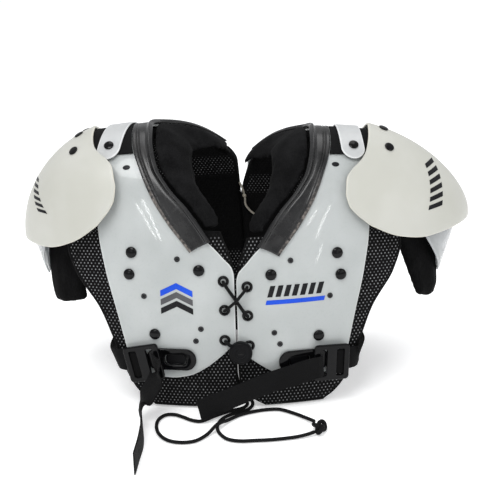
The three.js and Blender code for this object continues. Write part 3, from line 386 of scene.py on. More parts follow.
@dataclass(frozen=True)
class SpacerMesh:
    """Black spacer cloth with rows of pale knots, plain along its bound edges, and with painted shade: the
    knots are hidden over the crest and inside the back near the neck, save for one fainter band.

    The piece's UV gives the distance from the mid-plane and the way along the arch.
    """

    name: str
    pitch: float = 4.05
    dot: float = 0.7
    plain_edge: float = 5.0
    # chest_end, side, band and back_start mark where the knots show; elsewhere, near the neck and inside the
    # back, they are hidden as painted shade.
    chest_end: float = 200.0
    side: float = 88.0
    band: Pair = (436.0, 458.0)
    back_start: float = 570.0

    def build(self) -> Material:
        """Makes the material.

        Returns:
            The material.
        """
        net = Net(self.name)
        flat = net.surface_place()
        where = net.object_place()
        sway = net.vector("SCALE", net.node("TexNoise", out="Color", in_Vector=where, in_Scale=45.0))
        sway.node.inputs["Scale"].default_value = 0.9
        spot = net.vector("ADD", flat, sway)
        cell = (self.pitch, self.pitch * math.sqrt(3), 1.0)
        low = None
        for offset in (0.0, 0.5):
            moved = net.vector("ADD", net.vector("DIVIDE", spot, cell), (offset, offset, 0.0))
            inside = net.vector("SUBTRACT", net.vector("FRACTION", moved), (0.5, 0.5, 0.0))
            off = net.vector("LENGTH", net.vector("MULTIPLY", inside, (cell[0], cell[1] * 0.82, 0.0)), out=1)
            low = off if low is None else net.math("MINIMUM", low, off)
        knot = net.ease(low, self.dot * 0.55, self.dot * 1.3, 1.0, 0.0)
        split = net.node("SeparateXYZ", in_Vector=flat)
        out, along = split, split.node.outputs[1]
        # Painted shade: knots show only on the chest, the outer side, the low back and a fainter band across
        # the back, and are hidden over the crest and inside the back near the neck.
        chest = net.ease(along, self.chest_end - 6.0, self.chest_end, 1.0, 0.0)
        side = net.ease(out, self.side, self.side + 4.0)
        back = net.ease(along, self.back_start, self.back_start + 8.0)
        band = net.math("MULTIPLY", net.ease(along, self.band[0] - 5.0, self.band[0] + 3.0),
                        net.ease(along, self.band[1], self.band[1] + 9.0, 0.75, 0.0))
        knots_out_of_painted_shade = net.math("MAXIMUM", net.math("MAXIMUM", chest, side), net.math("MAXIMUM", back, band))
        neck_side = net.math("MULTIPLY", chest, net.ease(out, 40.0, 60.0, 1.0, 0.0))
        margin = net.ease(neck_side, 0.0, 1.0, self.plain_edge, 1.6)
        inner = net.math("MULTIPLY", knots_out_of_painted_shade, net.ease(net.math("SUBTRACT", net.rim(), margin), -0.6, 0.6))
        patchy = net.ease(net.noise(where, 230.0, 3.0), 0.32, 0.62, 0.25, 1.0)
        shown = net.math("MULTIPLY", net.math("MULTIPLY", knot, inner), patchy)
        ribs = net.node("TexWave", in_Vector=flat, in_Scale=0.55, in_Distortion=0.6, bands_direction="Y")
        fuzz = net.noise(where, 1500.0, 2.0)
        cloth = net.blend(fuzz, (0.0012, 0.0012, 0.0013), (0.0048, 0.0048, 0.005))
        colour = net.blend(shown, cloth, (0.27, 0.275, 0.28))
        height = net.math("ADD", net.math("MULTIPLY", knot, -0.6), net.math("MULTIPLY", fuzz, 0.35))
        height = net.math("ADD", height, net.math("MULTIPLY", ribs, net.ease(net.rim(), 3.5, 5.0, 0.5, 0.0)))
        net.set(Base_Color=colour, Roughness=0.88, Normal=net.bump(height, 0.0006), Specular_IOR_Level=0.1)
        net.set(Sheen_Weight=0.01, Sheen_Roughness=0.4)
        return net.material


@dataclass(frozen=True)
class BrushedCloth:
    """Napped cloth: a soft sheen over short, uneven fibres."""

    name: str
    low: Triple
    high: Triple
    sheen: float = 0.35
    fold: float = 0.0

    def build(self) -> Material:
        """Makes the material.

        Returns:
            The material.
        """
        net = Net(self.name)
        where = net.object_place()
        fibres = net.node("Mapping", in_Vector=where, in_Rotation=(0.3, 0.2, 0.5), in_Scale=(1.0, 1.0, 0.3))
        nap = net.noise(fibres, 900.0, 3.0, 0.65)
        cloud = net.noise(where, 38.0, 4.0, 0.6)
        share = net.math("ADD", net.math("MULTIPLY", nap, 0.55), net.math("MULTIPLY", cloud, 0.5))
        colour = net.blend(net.ease(share, 0.35, 0.72), self.low, self.high)
        rough = net.bump(nap, 0.00035, 0.8)
        if self.fold > 0:
            upright = net.node("Mapping", in_Vector=where, in_Scale=(1.0, 1.0, 0.16))
            rough = net.bump(net.noise(upright, 60.0, 2.0), self.fold, 0.9, under=rough)
        net.set(Base_Color=colour, Roughness=0.92, Normal=rough, Specular_IOR_Level=0.06)
        net.set(Sheen_Weight=self.sheen, Sheen_Roughness=0.45)
        return net.material


@dataclass(frozen=True)
class Webbing:
    """Woven black web: ribs across it and fine warp lines along it."""

    name: str
    rib: float = 1.7
    warp: float = 1.25
    low: Triple = (0.0012, 0.0012, 0.0013)
    high: Triple = (0.009, 0.009, 0.0095)

    def build(self) -> Material:
        """Makes the material.

        Returns:
            The material.
        """
        net = Net(self.name)
        flat = net.surface_place()
        where = net.object_place()
        split = net.node("SeparateXYZ", in_Vector=flat)
        along = split.node.outputs[1]
        warp = net.math("SINE", net.math("MULTIPLY", split, 2 * math.pi / self.warp))
        half = net.math("MULTIPLY", net.math("GREATER_THAN", warp, 0.0), math.pi)
        turned = net.math("ADD", net.math("MULTIPLY", along, 2 * math.pi / self.rib), half)
        rib = net.math("SINE", turned)
        weave = net.math("MULTIPLY", net.math("ADD", net.math("ABSOLUTE", warp), rib), 0.5)
        lint = net.noise(where, 700.0, 3.0, 0.6)
        raised = net.math("MULTIPLY", net.ease(weave, -0.2, 0.9), 0.6)
        share = net.math("ADD", raised, net.math("MULTIPLY", lint, 0.5))
        colour = net.blend(net.ease(share, 0.2, 0.95), self.low, self.high)
        height = net.math("ADD", weave, net.math("MULTIPLY", lint, 0.3))
        net.set(Base_Color=colour, Roughness=0.75, Normal=net.bump(height, 0.00022), Specular_IOR_Level=0.09)
        net.set(Sheen_Weight=0.012, Sheen_Roughness=0.4)
        return net.material


@dataclass(frozen=True)
class Braid:
    """Braided cord: crossing strands wound round it."""

    name: str
    low: Triple
    high: Triple
    strands: int = 6
    rise: float = 5.2

    def build(self) -> Material:
        """Makes the material.

        Returns:
            The material.
        """
        net = Net(self.name)
        split = net.node("SeparateXYZ", in_Vector=net.surface_place())
        turn = net.math("MULTIPLY", split, 2 * math.pi * self.strands)
        run = net.math("MULTIPLY", split.node.outputs[1], 2 * math.pi / self.rise * 2)
        one = net.math("SINE", net.math("ADD", turn, run))
        other = net.math("SINE", net.math("SUBTRACT", turn, run))
        braid = net.math("MAXIMUM", one, other)
        fuzz = net.noise(net.object_place(), 1600.0, 2.0)
        share = net.math("ADD", net.ease(braid, -0.3, 1.0, 0.0, 0.7), net.math("MULTIPLY", fuzz, 0.35))
        colour = net.blend(share, self.low, self.high)
        height = net.math("ADD", braid, net.math("MULTIPLY", fuzz, 0.4))
        net.set(Base_Color=colour, Roughness=0.8, Normal=net.bump(height, 0.0003), Specular_IOR_Level=0.12)
        return net.material


@dataclass(frozen=True)
class Rubber:
    """Soft black moulding with a low sheen, rubbed streaks and a stitched hem, whose pale strip on the front
    part is partly the hem's own tan and partly painted highlight.

    The piece's UV gives the distance from its outer edge and the way along it.
    """

    name: str
    low: Triple = (0.005, 0.005, 0.0053)
    high: Triple = (0.017, 0.0165, 0.0165)
    # hem is the pale strip's colour: partly the hem's own tan, partly painted highlight on the lifted
    # flange.
    hem: Triple = (0.16, 0.14, 0.125)
    stitch: float = 6.2
    hem_width: float = 4.2

    def build(self) -> Material:
        """Makes the material.

        Returns:
            The material.
        """
        net = Net(self.name)
        where = net.object_place()
        pores = net.noise(where, 1900.0, 2.0)
        rubbed = net.noise(where, 55.0, 5.0, 0.65)
        colour = net.blend(net.ease(rubbed, 0.42, 0.78), self.low, self.high)
        split = net.node("SeparateXYZ", in_Vector=net.surface_place())
        out, along = split, split.node.outputs[1]
        # Partly painted highlight: a pale strip by the outer edge, in random patches, only on the front
        # part; it mixes the hem's tan with the light caught by the lifted flange.
        lower = net.ease(along, 62.0, 96.0, 1.0, 0.0)
        hem_tan_and_highlight = net.math("MULTIPLY", net.ease(out, self.hem_width - 0.9, self.hem_width, 1.0, 0.0), lower)
        patchy = net.ease(net.noise(where, 260.0, 4.0, 0.7), 0.38, 0.66)
        colour = net.blend(net.math("MULTIPLY", hem_tan_and_highlight, patchy), colour, self.hem)
        beat = net.math("FRACT", net.math("DIVIDE", along, self.stitch))
        near = net.math("ABSOLUTE", net.math("SUBTRACT", out, self.hem_width + 0.8))
        long = net.ease(net.math("ABSOLUTE", net.math("SUBTRACT", beat, 0.5)), 0.2, 0.26, 1.0, 0.0)
        slot = net.math("MULTIPLY", net.math("MULTIPLY", net.ease(near, 0.55, 0.85, 1.0, 0.0), long), lower)
        colour = net.blend(slot, colour, (0.0005, 0.0005, 0.0005))
        rough = net.ease(rubbed, 0.3, 0.7, 0.2, 0.34)
        height = net.math("ADD", net.math("MULTIPLY", pores, 0.25), net.math("MULTIPLY", rubbed, 0.4))
        height = net.math("SUBTRACT", height, net.math("MULTIPLY", slot, 2.5))
        net.set(Base_Color=colour, Roughness=rough, Normal=net.bump(height, 0.00016))
        net.set(Specular_IOR_Level=0.45)
        return net.material


@dataclass(frozen=True)
class Floor:
    """A plain pale studio floor."""

    name: str = "studio_floor"
    colour: Triple = (0.93, 0.93, 0.93)
    glow: float = 0.38

    def build(self) -> Material:
        """Makes the material.

        Returns:
            The material.
        """
        net = Net(self.name)
        net.set(Base_Color=self.colour, Roughness=0.9, Specular_IOR_Level=0.1)
        net.set(Emission_Color=self.colour, Emission_Strength=self.glow)
        return net.material


Finish = Plastic | SpacerMesh | BrushedCloth | Webbing | Braid | Rubber | Floor


class Look(Enum):
    """The finishes of the pad."""

    # Every edge colour below is a painted highlight along the piece's rim.
    PLATE = Plastic(
        "milky_plate", (0.39, 0.41, 0.405), (0.44, 0.46, 0.455), 0.3, coat=0.45, gloss=0.2, scatter=0.3,
        wave=0.004, edge=(0.62, 0.64, 0.63),
    )
    EPAULET = Plastic(
        "ivory_shell", (0.465, 0.465, 0.42), (0.5, 0.5, 0.46), 0.36, gloss=0.35, scatter=0.2,
        wave=0.001, edge=(0.62, 0.6, 0.52), rim_highlight_width=1.6,
    )
    CUP = Plastic(
        "clear_cup", (0.42, 0.44, 0.44), (0.56, 0.58, 0.59), 0.2, coat=0.4, scatter=0.2, clear=0.45,
        wave=0.006, edge=(0.6, 0.62, 0.63), rim_highlight_width=3.0,
    )
    TAB = Plastic(
        "white_tab", (0.44, 0.45, 0.45), (0.5, 0.51, 0.51), 0.32, coat=0.1, scatter=0.2,
        edge=(0.66, 0.67, 0.67),
    )
    HARDWARE = Plastic("black_moulding", (0.0015, 0.0015, 0.0018), (0.004, 0.004, 0.0045), 0.09, gloss=0.17)
    DOME = Plastic("glossy_dome", (0.001, 0.001, 0.0012), (0.003, 0.003, 0.0034), 0.07, gloss=0.2)
    LOCK = Plastic("matt_moulding", (0.0025, 0.0025, 0.003), (0.005, 0.005, 0.006), 0.4, gloss=0.1)
    STUD = Plastic("dark_stud", (0.012, 0.012, 0.013), (0.03, 0.03, 0.032), 0.15, gloss=0.4)
    BLUE = Plastic("blue_print", (0.008, 0.06, 0.52), (0.012, 0.08, 0.6), 0.3, gloss=0.2)
    INK = Plastic("dark_print", (0.006, 0.006, 0.007), (0.012, 0.012, 0.014), 0.35, gloss=0.15)
    GREY_INK = Plastic("grey_print", (0.07, 0.07, 0.075), (0.1, 0.1, 0.105), 0.4, gloss=0.2)
    LINER = SpacerMesh("spacer_mesh")
    NECK_PAD = BrushedCloth("brushed_pad", (0.0022, 0.0022, 0.0024), (0.0105, 0.0105, 0.011), sheen=0.012)
    ARM_PAD = BrushedCloth(
        "arm_pad_cloth", (0.0012, 0.0012, 0.0013), (0.006, 0.006, 0.0063), sheen=0.005, fold=0.0015,
    )
    TRIM = Rubber("trim_rubber")
    WEB = Webbing("black_web")
    LACE = Braid("black_lace", (0.0015, 0.0015, 0.0017), (0.012, 0.012, 0.0125))
    CORD = Braid("pale_cord", (0.32, 0.29, 0.23), (0.62, 0.58, 0.5), strands=3, rise=3.0)
    FLOOR = Floor()


# Shapes


def grid_points(bm: Mesh, across: int, along: int) -> dict[tuple[int, int], bmesh.types.BMVert]:
    """Adds a flat grid.

    Args:
        bm: the mesh that takes it.
        across: the number of columns of points.
        along: the number of rows of points.

    Returns:
        The grid's points by column and row.
    """
    made = bmesh.ops.create_grid(bm, x_segments=across - 1, y_segments=along - 1, size=1.0)["verts"]
    xs = sorted({round(v.co.x, 5) for v in made})
    ys = sorted({round(v.co.y, 5) for v in made})
    columns = {x: i for i, x in enumerate(xs)}
    rows = {y: j for j, y in enumerate(ys)}
    return {(columns[round(v.co.x, 5)], rows[round(v.co.y, 5)]): v for v in made}


def lay_out(
    bm: Mesh,
    across: int,
    along: int,
    place: Callable[[int, int], Spot],
    flip: bool = False,
) -> None:
    """Bends a grid into shape and writes its UV and its distance from the edge.

    Args:
        bm: the mesh that takes the grid.
        across: the number of columns of points.
        along: the number of rows of points.
        place: gives a column and row their point, UV and distance from the edge.
        flip: whether its faces are turned over.
    """
    uv = bm.loops.layers.uv.get("cloth") or bm.loops.layers.uv.new("cloth")
    rim = bm.verts.layers.float.get("rim") or bm.verts.layers.float.new("rim")
    flat: dict[bmesh.types.BMVert, Pair] = {}
    for (i, j), vert in grid_points(bm, across, along).items():
        vert.co, flat[vert], vert[rim] = place(i, j)
    faces = {face for vert in flat for face in vert.link_faces}
    for face in faces:
        for loop in face.loops:
            loop[uv].uv = flat[loop.vert]
    if flip:
        bmesh.ops.reverse_faces(bm, faces=list(faces))


def closed(bm: Mesh, gap: float = 1e-4) -> Mesh:
    """Welds the seams of a mesh and turns its faces outwards.

    Args:
        bm: the mesh.
        gap: the widest gap that is welded.

    Returns:
        The same mesh.
    """
    bmesh.ops.remove_doubles(bm, verts=bm.verts, dist=gap)
    bmesh.ops.dissolve_degenerate(bm, edges=bm.edges, dist=gap)
    bmesh.ops.recalc_face_normals(bm, faces=bm.faces)
    return bm


@dataclass
class Shell:
    """A wall with soft edges, laid over a surface.

    The surface takes a share across, a share along and a lift, and gives a point.
    """

    surface: Surface
    half: Field
    middle: Field
    columns: int
    rows: int
    rim: float
    flat: Callable[[float, float], Pair] | None = None
    relief: Callable[[float, float, float], float] | None = None

    def lengths(self, along: bool) -> Curve:
        """How long the surface is at a share of the other direction.

        Args:
            along: whether the length along it is wanted, not the one across.

        Returns:
            The length as a function of the share.
        """
        rows: list[Pair] = []
        for k in range(9):
            share = k / 8
            line = [
                self.surface(share, s / 16, 0.0) if along else self.surface(s / 16, share, 0.0)
                for s in range(17)
            ]
            rows.append((share, path_length(line)))
        return smooth_table(rows)

    def build(self) -> Mesh:
        """Makes the wall.

        Returns:
            The mesh, closed.
        """
        bm = bmesh.new()
        width = self.lengths(False)
        length = self.lengths(True)
        vs = spread(self.rows, length(0.5), self.rim)
        across = [spread(self.columns, max(width(v), 0.5), self.rim) for v in vs]

        def place(i: int, j: int, way: int) -> Spot:
            """Places one point of the wall.

            Args:
                i: its column.
                j: its row.
                way: 1 for the outer face and -1 for the inner one.

            Returns:
                The point, its UV and its distance from the edge.
            """
            u, v = across[j][i], vs[j]
            wide, long = max(width(v), 0.5), max(length(u), 0.5)
            off = max(0.0, min(u * wide, (1 - u) * wide, v * long, (1 - v) * long))
            inside = 1 - min(off / self.rim, 1.0)
            half = self.half(u, v) * math.sqrt(max(0.0, 1 - inside**2))
            if self.relief is not None and off > 0 and way > 0:
                half += self.relief(u, v, off)
            point = self.surface(u, v, self.middle(u, v) + way * half)
            return point, self.flat(u, v) if self.flat else (u * wide, v * long), off

        count = (len(across[0]), len(vs))
        lay_out(bm, *count, lambda i, j: place(i, j, 1))
        lay_out(bm, *count, lambda i, j: place(i, j, -1), flip=True)
        return closed(bm)


def tube(
    path: Path,
    radius: float,
    sides: int,
    flatten: float = 1.0,
    loop: bool = False,
) -> Mesh:
    """Makes a round-ended tube along a path.

    Args:
        path: points close together.
        radius: the tube's radius.
        sides: the number of sides.
        flatten: the share that the tube keeps of its height.
        loop: whether the path closes on itself.

    Returns:
        The mesh, closed.
    """
    bm = bmesh.new()
    total = path_length(path)
    if loop:
        line = list(path)
    else:
        cap = [radius * share for share in (0.0, 0.12, 0.4, 1.0)]
        inner = [d for d in accumulate(path) if radius < d < total - radius]
        line = walk(path, cap + inner + [total - d for d in reversed(cap)])
    run = accumulate(line)
    frames: list[tuple[Vector, Vector]] = []
    up = Vector((0, 0, 1))
    last = len(line) - 1
    for i in range(len(line)):
        before = line[i - 1] if i else line[last - 1 if loop else 0]
        after = line[i + 1] if i < last else line[1 if loop else last]
        ahead = (after - before).normalized()
        up = Vector((0, 0, 1)) if loop else up
        up = up - ahead * up.dot(ahead)
        if up.length < 0.05:
            up = Vector((ahead.y, ahead.z, ahead.x))
            up -= ahead * up.dot(ahead)
        up.normalize()
        frames.append((up.copy(), ahead.cross(up)))

    def place(i: int, j: int) -> Spot:
        """Places one point of the tube.

        Args:
            i: its place round the tube.
            j: its place along the tube.

        Returns:
            The point, its UV and its distance from the edge.
        """
        end = min(run[j], total - run[j])
        fit = 1.0 if loop else math.sqrt(max(0.0, 1 - (1 - min(end / radius, 1.0)) ** 2))
        angle = 2 * math.pi * i / sides
        high, wide = frames[j]
        offset = high * math.cos(angle) * flatten + wide * math.sin(angle)
        return line[j] + offset * radius * fit, (i / sides, run[j]), 0.0

    lay_out(bm, sides + 1, len(line), place)
    return closed(bm)


def accumulate(path: Path) -> list[float]:
    """How far along the path each of its points lies."""
    return [0.0, *itertools.accumulate((b - a).length for a, b in zip(path, path[1:]))]


def spun(profile: Pairs, steps: int = 28) -> Mesh:
    """Turns a profile about the Z axis.

    Args:
        profile: pairs of radius and height; it starts and ends on the axis or closes.
        steps: the number of steps in a full turn.

    Returns:
        The mesh, closed.
    """
    bm = bmesh.new()
    verts = [bm.verts.new((r, 0.0, z)) for r, z in profile]
    edges = [bm.edges.new(pair) for pair in zip(verts, verts[1:])]
    if profile[0][0] > 0:
        edges.append(bm.edges.new((verts[-1], verts[0])))
    bmesh.ops.spin(
        bm, geom=verts + edges, cent=(0, 0, 0), axis=(0, 0, 1), angle=2 * math.pi,
        steps=steps, use_merge=True,
    )
    return closed(bm)


def rounded_outline(width: float, height: float, radius: float) -> list[Vector]:
    """Makes the outline of a rounded box about the origin, in the XY plane.

    Args:
        width: its size along X.
        height: its size along Y.
        radius: the radius of its corners.

    Returns:
        Its points in order.
    """
    outline: list[Vector] = []
    for quarter, (sx, sy) in enumerate(((1, 1), (-1, 1), (-1, -1), (1, -1))):
        centre = Vector((sx * (width / 2 - radius), sy * (height / 2 - radius), 0))
        for k in range(7):
            angle = math.pi / 2 * (quarter + k / 6)
            outline.append(centre + Vector((math.cos(angle), math.sin(angle), 0)) * radius)
    return outline


def moved(bm: Mesh, matrix: Matrix) -> Mesh:
    """Places a whole mesh."""
    bmesh.ops.transform(bm, matrix=matrix, verts=bm.verts)
    return bm


def joined(parts: Sequence[Mesh]) -> Mesh:
    """Puts several meshes into one.

    Args:
        parts: the meshes, which are used up.

    Returns:
        The whole mesh.
    """
    whole = bmesh.new()
    whole.loops.layers.uv.new("cloth")
    whole.verts.layers.float.new("rim")
    for part in parts:
        mesh = bpy.data.meshes.new("part")
        part.to_mesh(mesh)
        whole.from_mesh(mesh)
        part.free()
        bpy.data.meshes.remove(mesh)
    return whole


def seat_matrix(point: Vector, normal: Vector, spin: float = 0.0) -> Matrix:
    """Stands a shape made about Z on a surface, its own X axis kept level.

    Args:
        point: where its base goes.
        normal: the surface's outward direction.
        spin: a turn in its own plane, in radians.

    Returns:
        The placing matrix.
    """
    x = (Vector((1, 0, 0)) - normal * normal.x).normalized()
    y = normal.cross(x)
    frame = Matrix((x, y, normal)).transposed().to_4x4()
    return Matrix.Translation(point) @ frame @ Matrix.Rotation(spin, 4, "Z")


def plain(box: Sequence[Sequence[float]]) -> list[list[float]]:
    """A box's two corners as plain lists."""
    return [[float(value) for value in corner] for corner in box]


# The bench


class Bench:
    lock_centre: Vector = Vector((3.5, -120.5, 69.5))

    def __init__(self) -> None:
        """Loads the frame and finds where the design frame lies in it."""
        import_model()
        self.cad_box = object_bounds()
        low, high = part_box("cord_lock")
        lock = Vector([(a + b) / 2 for a, b in zip(low, high)])
        self.origin = lock - self.lock_centre * 0.001
        self.materials: dict[Look, Material] = {}

    def metres(self, point: Vector) -> Vector:
        """A design point in metres in the row frame."""
        return point * 0.001 + self.origin

    def material(self, look: Look) -> Material:
        """Makes the material of a look the first time it is asked for.

        Args:
            look: the finish.

        Returns:
            The material.
        """
        if look not in self.materials:
            self.materials[look] = look.value.build()
        return self.materials[look]

    def finish(
        self,
        name: str,
        bm: Mesh,
        look: Look,
        slot: str,
        nodes: Sequence[str] = (),
        sharp: float = 50.0,
    ) -> bpy.types.Object:
        """Makes a piece of the object from a mesh.

        Args:
            name: the piece's name.
            bm: its mesh, in design millimetres.
            look: its finish.
            slot: not used.
            nodes: the CAD nodes it stands for.
            sharp: the angle in degrees past which an edge looks sharp.

        Returns:
            The object.
        """
        place = Matrix.Translation(self.origin) @ Matrix.Scale(0.001, 4)
        bmesh.ops.transform(bm, matrix=place, verts=bm.verts)
        mesh = bpy.data.meshes.new(name)
        bm.to_mesh(mesh)
        bm.free()
        mesh.materials.append(self.material(look))
        piece = bpy.data.objects.new(name, mesh)
        bpy.context.scene.collection.objects.link(piece)
        mesh.shade_smooth()
        mesh.set_sharp_from_angle(angle=math.radians(sharp))
        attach(piece, "root")
        if nodes:
            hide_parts(*nodes)
        LOG.info("%s: %d faces", name, len(mesh.polygons))
        return piece

    def side(
        self, half: "Half", name: str, bm: Mesh, look: Look, slot: str, node: str = "", sharp: float = 50.0,
    ) -> bpy.types.Object:
        """Makes a piece of one half; it and its node are named without their side."""
        nodes = [half.label(node)] if node else []
        return self.finish(half.label(name), bm, look, slot, nodes, sharp)

    def write_sizes(self) -> None:
        """Gathers the CAD box and the visual model's box."""
        boxes = {"cad": plain(self.cad_box), "visual": plain(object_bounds())}


# The pad's geometry


@dataclass(frozen=True)
class Hang:
    """How a piece hangs at the shoulder.

    It turns about the hinge, in degrees, and then drops. The flare pushes a cup's side out by
    up to its length, and the spread widens the cup's foot by its share.
    """

    turn: float
    drop: float
    flare: float = 0.0
    spread: float = 1.0


@dataclass(frozen=True)
class Half:
    """One half of the pad, named by its side in the picture.

    It has its lift at the chest and its fall towards the back, how its cap, cup and arm pad
    hang, the lean and place of its tab, and how much sooner its neck edge ends at the back.
    """

    name: str
    sign: float
    rise: float
    back_fall: float
    cap: Hang
    cup: Hang
    pad: Hang
    tab_lean: float
    tab_out: float
    neck_cut: float

    def label(self, part: str) -> str:
        """The node name of one of its parts."""
        return f"{self.name}_{part}"

    def hinged(self, hang: Hang, point: Vector) -> Vector:
        """Turns a point of the shoulder group about its hinge and drops it.

        Args:
            hang: the turn and the drop.
            point: the point as it is on an upright right half.

        Returns:
            The point on this half.
        """
        angle = math.radians(hang.turn)
        x, z = point.x - HINGE_OUT, point.z - HINGE_HEIGHT
        return Vector((
            self.sign * (HINGE_OUT + x * math.cos(angle) - z * math.sin(angle)),
            point.y,
            HINGE_HEIGHT + z * math.cos(angle) + x * math.sin(angle) - hang.drop,
        ))


LEFT = Half("left", -1.0, 3.0, 0.0, Hang(0, -4.5), Hang(0, -7, 7), Hang(0, 5), 10.0, 121.2, 0.0)
RIGHT = Half("right", 1.0, -4.0, 16.0, Hang(9, -0.5), Hang(6, 9, 14, 1.45), Hang(6, 19), 4.0, 125.0, 0.019)
HALVES = (LEFT, RIGHT)


@dataclass(frozen=True)
class Vault:
    """The arch that every layer follows: its height, depths and roundings."""

    height: float = 286.0
    width: float = 150.0
    chest_depth: float = 115.0
    back_depth: float = 112.0
    flank_wrap: float = 0.25
    crest_fall: float = 0.03
    crown: float = 2.8
    back_drift: float = 11.0

    def turn_at_rise(self, rise: float) -> float:
        """The turn at which the chest's outline reaches a share of the height."""
        return math.asin(rise ** (self.crown / 2)) / math.pi

    def drift(self, back: float) -> float:
        """How far the back sits to one side."""
        return self.back_drift * (max(0.0, back) / self.back_depth) ** 2

    def place(self, half: Half, out: float, turn: float, lift: float) -> tuple[Vector, Vector]:
        """Finds a point of the arch.

        Args:
            half: the half.
            out: the distance from the mid-plane.
            turn: the way along the arch, 0 at the chest's foot and 1 at the back's.
            lift: the height above the plate's outer face.

        Returns:
            The point and the outward direction there.
        """
        wide = (out / self.width) ** 2
        forward = math.cos(math.pi * turn)
        behind = forward < 0
        full = self.back_depth if behind else self.chest_depth
        rounding = 2.2 if behind else 2.1
        depth = full * (1 - self.flank_wrap * wide)
        height = self.height * (1 - self.crest_fall * wide)
        y = depth * abs(forward) ** (2 / rounding)
        z = height * abs(math.sin(math.pi * turn)) ** (2 / self.crown)
        depth_slope = -2 * self.flank_wrap * out * full / self.width**2
        height_slope = -2 * self.crest_fall * out * self.height / self.width**2
        ys = (y / depth) ** (rounding - 1)
        zs = (z / height) ** (self.crown - 1)
        normal = Vector((
            -rounding * ys * y * depth_slope / depth**2 - self.crown * zs * z * height_slope / height**2,
            rounding * ys / depth,
            self.crown * zs / height,
        )).normalized()
        flank = 1.0 if behind else -1.0
        share = y / self.back_depth if behind else 0.0
        settle = (half.rise - half.back_fall * share) * min(1.0, z / 70.0)
        x = half.sign * (out + normal.x * lift) + self.drift(flank * y)
        point = Vector((x, flank * (y + normal.y * lift), z + normal.z * lift + settle))
        return point, Vector((half.sign * normal.x, flank * normal.y, normal.z))

    def chest_turn(self, half: Half, out: float, height: float) -> float:
        """Finds the turn at which the chest reaches a height.

        Args:
            half: the half.
            out: the distance from the mid-plane.
            height: the height above the floor.

        Returns:
            The turn.
        """
        low, high = 0.0, 0.5
        for _ in range(24):
            middle = (low + high) / 2
            if self.place(half, out, middle, 0.0)[0].z < height:
                low = middle
            else:
                high = middle
        return low


VAULT = Vault()


@dataclass
class ArchLayer:
    """A layer of the arch between two edges and two ends."""

    half: Half
    neck: Curve
    arm: Curve
    front: Curve
    back: Curve
    pace: Curve = field(init=False)
    run: Curve = field(init=False)

    def __post_init__(self) -> None:
        """Measures the layer's middle line, so that its rows are evenly spaced."""
        low, high = self.front(0.5), self.back(0.5)
        turns = [low + (high - low) * (1 - math.cos(math.pi * k / 120)) / 2 for k in range(121)]
        line = [VAULT.place(self.half, (self.neck(t) + self.arm(t)) / 2, t, 0.0)[0] for t in turns]
        run = accumulate(line)
        self.pace = smooth_table([(d / run[-1], t) for d, t in zip(run, turns)])
        self.run = smooth_table(list(zip(turns, run)))

    def turn(self, u: float, v: float) -> float:
        """The turn at a share across and a share along."""
        low, high = self.front(0.5), self.back(0.5)
        return mix(self.front(u), self.back(u), (self.pace(v) - low) / (high - low))

    def out(self, u: float, turn: float) -> float:
        """The distance from the mid-plane at a share across."""
        return mix(self.neck(turn), self.arm(turn), u)

    def surface(self, u: float, v: float, lift: float) -> Vector:
        """A point of the layer."""
        turn = self.turn(u, v)
        return VAULT.place(self.half, self.out(u, turn), turn, lift)[0]

    def flat(self, u: float, v: float) -> Pair:
        """The layer's cloth coordinates, in millimetres."""
        turn = self.turn(u, v)
        return self.out(u, turn), self.run(turn)


def edge(rows: Pairs) -> Curve:
    """A layer's edge, from rows of turn and share of the half width."""
    return smooth_table([(turn, out * VAULT.width) for turn, out in rows])


TRIM_NECK = edge([
    (0.18, 0.158), (0.2377, 0.32), (0.274, 0.43), (0.3206, 0.515), (0.368, 0.546), (0.41, 0.557),
    (0.5, 0.56), (0.556, 0.52), (0.6, 0.37), (0.629, 0.273), (0.703, 0.07),
])
TRIM_ARM = edge([
    (0.165, 0.312), (0.214, 0.468), (0.262, 0.572), (0.318, 0.643), (0.368, 0.685), (0.41, 0.7),
    (0.5, 0.705), (0.556, 0.69), (0.6, 0.585), (0.629, 0.5), (0.688, 0.3), (0.72, 0.2),
])
TRIM_END = 0.703


@dataclass(frozen=True)
class ArchPlates:
    """The milky plate of one half; the foot gives its lower edge as shares of the height."""

    wall: float = 2.8
    neck: Curve = edge([
        (0, 0.007), (0.129, 0.007), (0.142, 0.024), (0.151, 0.064), (0.172, 0.152), (0.186, 0.22),
        (0.2, 0.287), (0.2377, 0.365), (0.274, 0.47), (0.3206, 0.537), (0.368, 0.567), (0.41, 0.58),
        (0.5, 0.587), (0.576, 0.51), (0.629, 0.3), (0.703, 0.09), (0.765, 0.06), (0.81, 0.014), (1, 0.014),
    ])
    arm: Curve = edge([
        (0, 0.72), (0.041, 0.79), (0.0856, 0.853), (0.135, 0.913), (0.196, 0.955), (0.3, 0.975),
        (0.5, 1), (0.7, 0.975), (0.804, 0.955), (0.865, 0.913), (0.959, 0.79), (1, 0.72),
    ])
    foot: Curve = smooth_table([
        (0, 0.262), (0.15, 0.206), (0.3, 0.163), (0.45, 0.135), (0.62, 0.125), (0.8, 0.135),
        (0.92, 0.17), (1, 0.225),
    ])

    def build(self, bench: Bench, half: Half) -> None:
        """Makes the plate.

        Args:
            bench: where it is finished.
            half: the half.
        """
        layer = ArchLayer(
            half, self.neck, self.arm,
            lambda u: VAULT.turn_at_rise(self.foot(u)), lambda u: 1 - VAULT.turn_at_rise(self.foot(u)),
        )
        shell = Shell(
            layer.surface, lambda u, v: self.wall / 2, lambda u, v: -self.wall / 2,
            56, 150, 1.4, layer.flat,
        )
        bench.side(half, "plate_shell", shell.build(), Look.PLATE, "plate", "arch_plate")


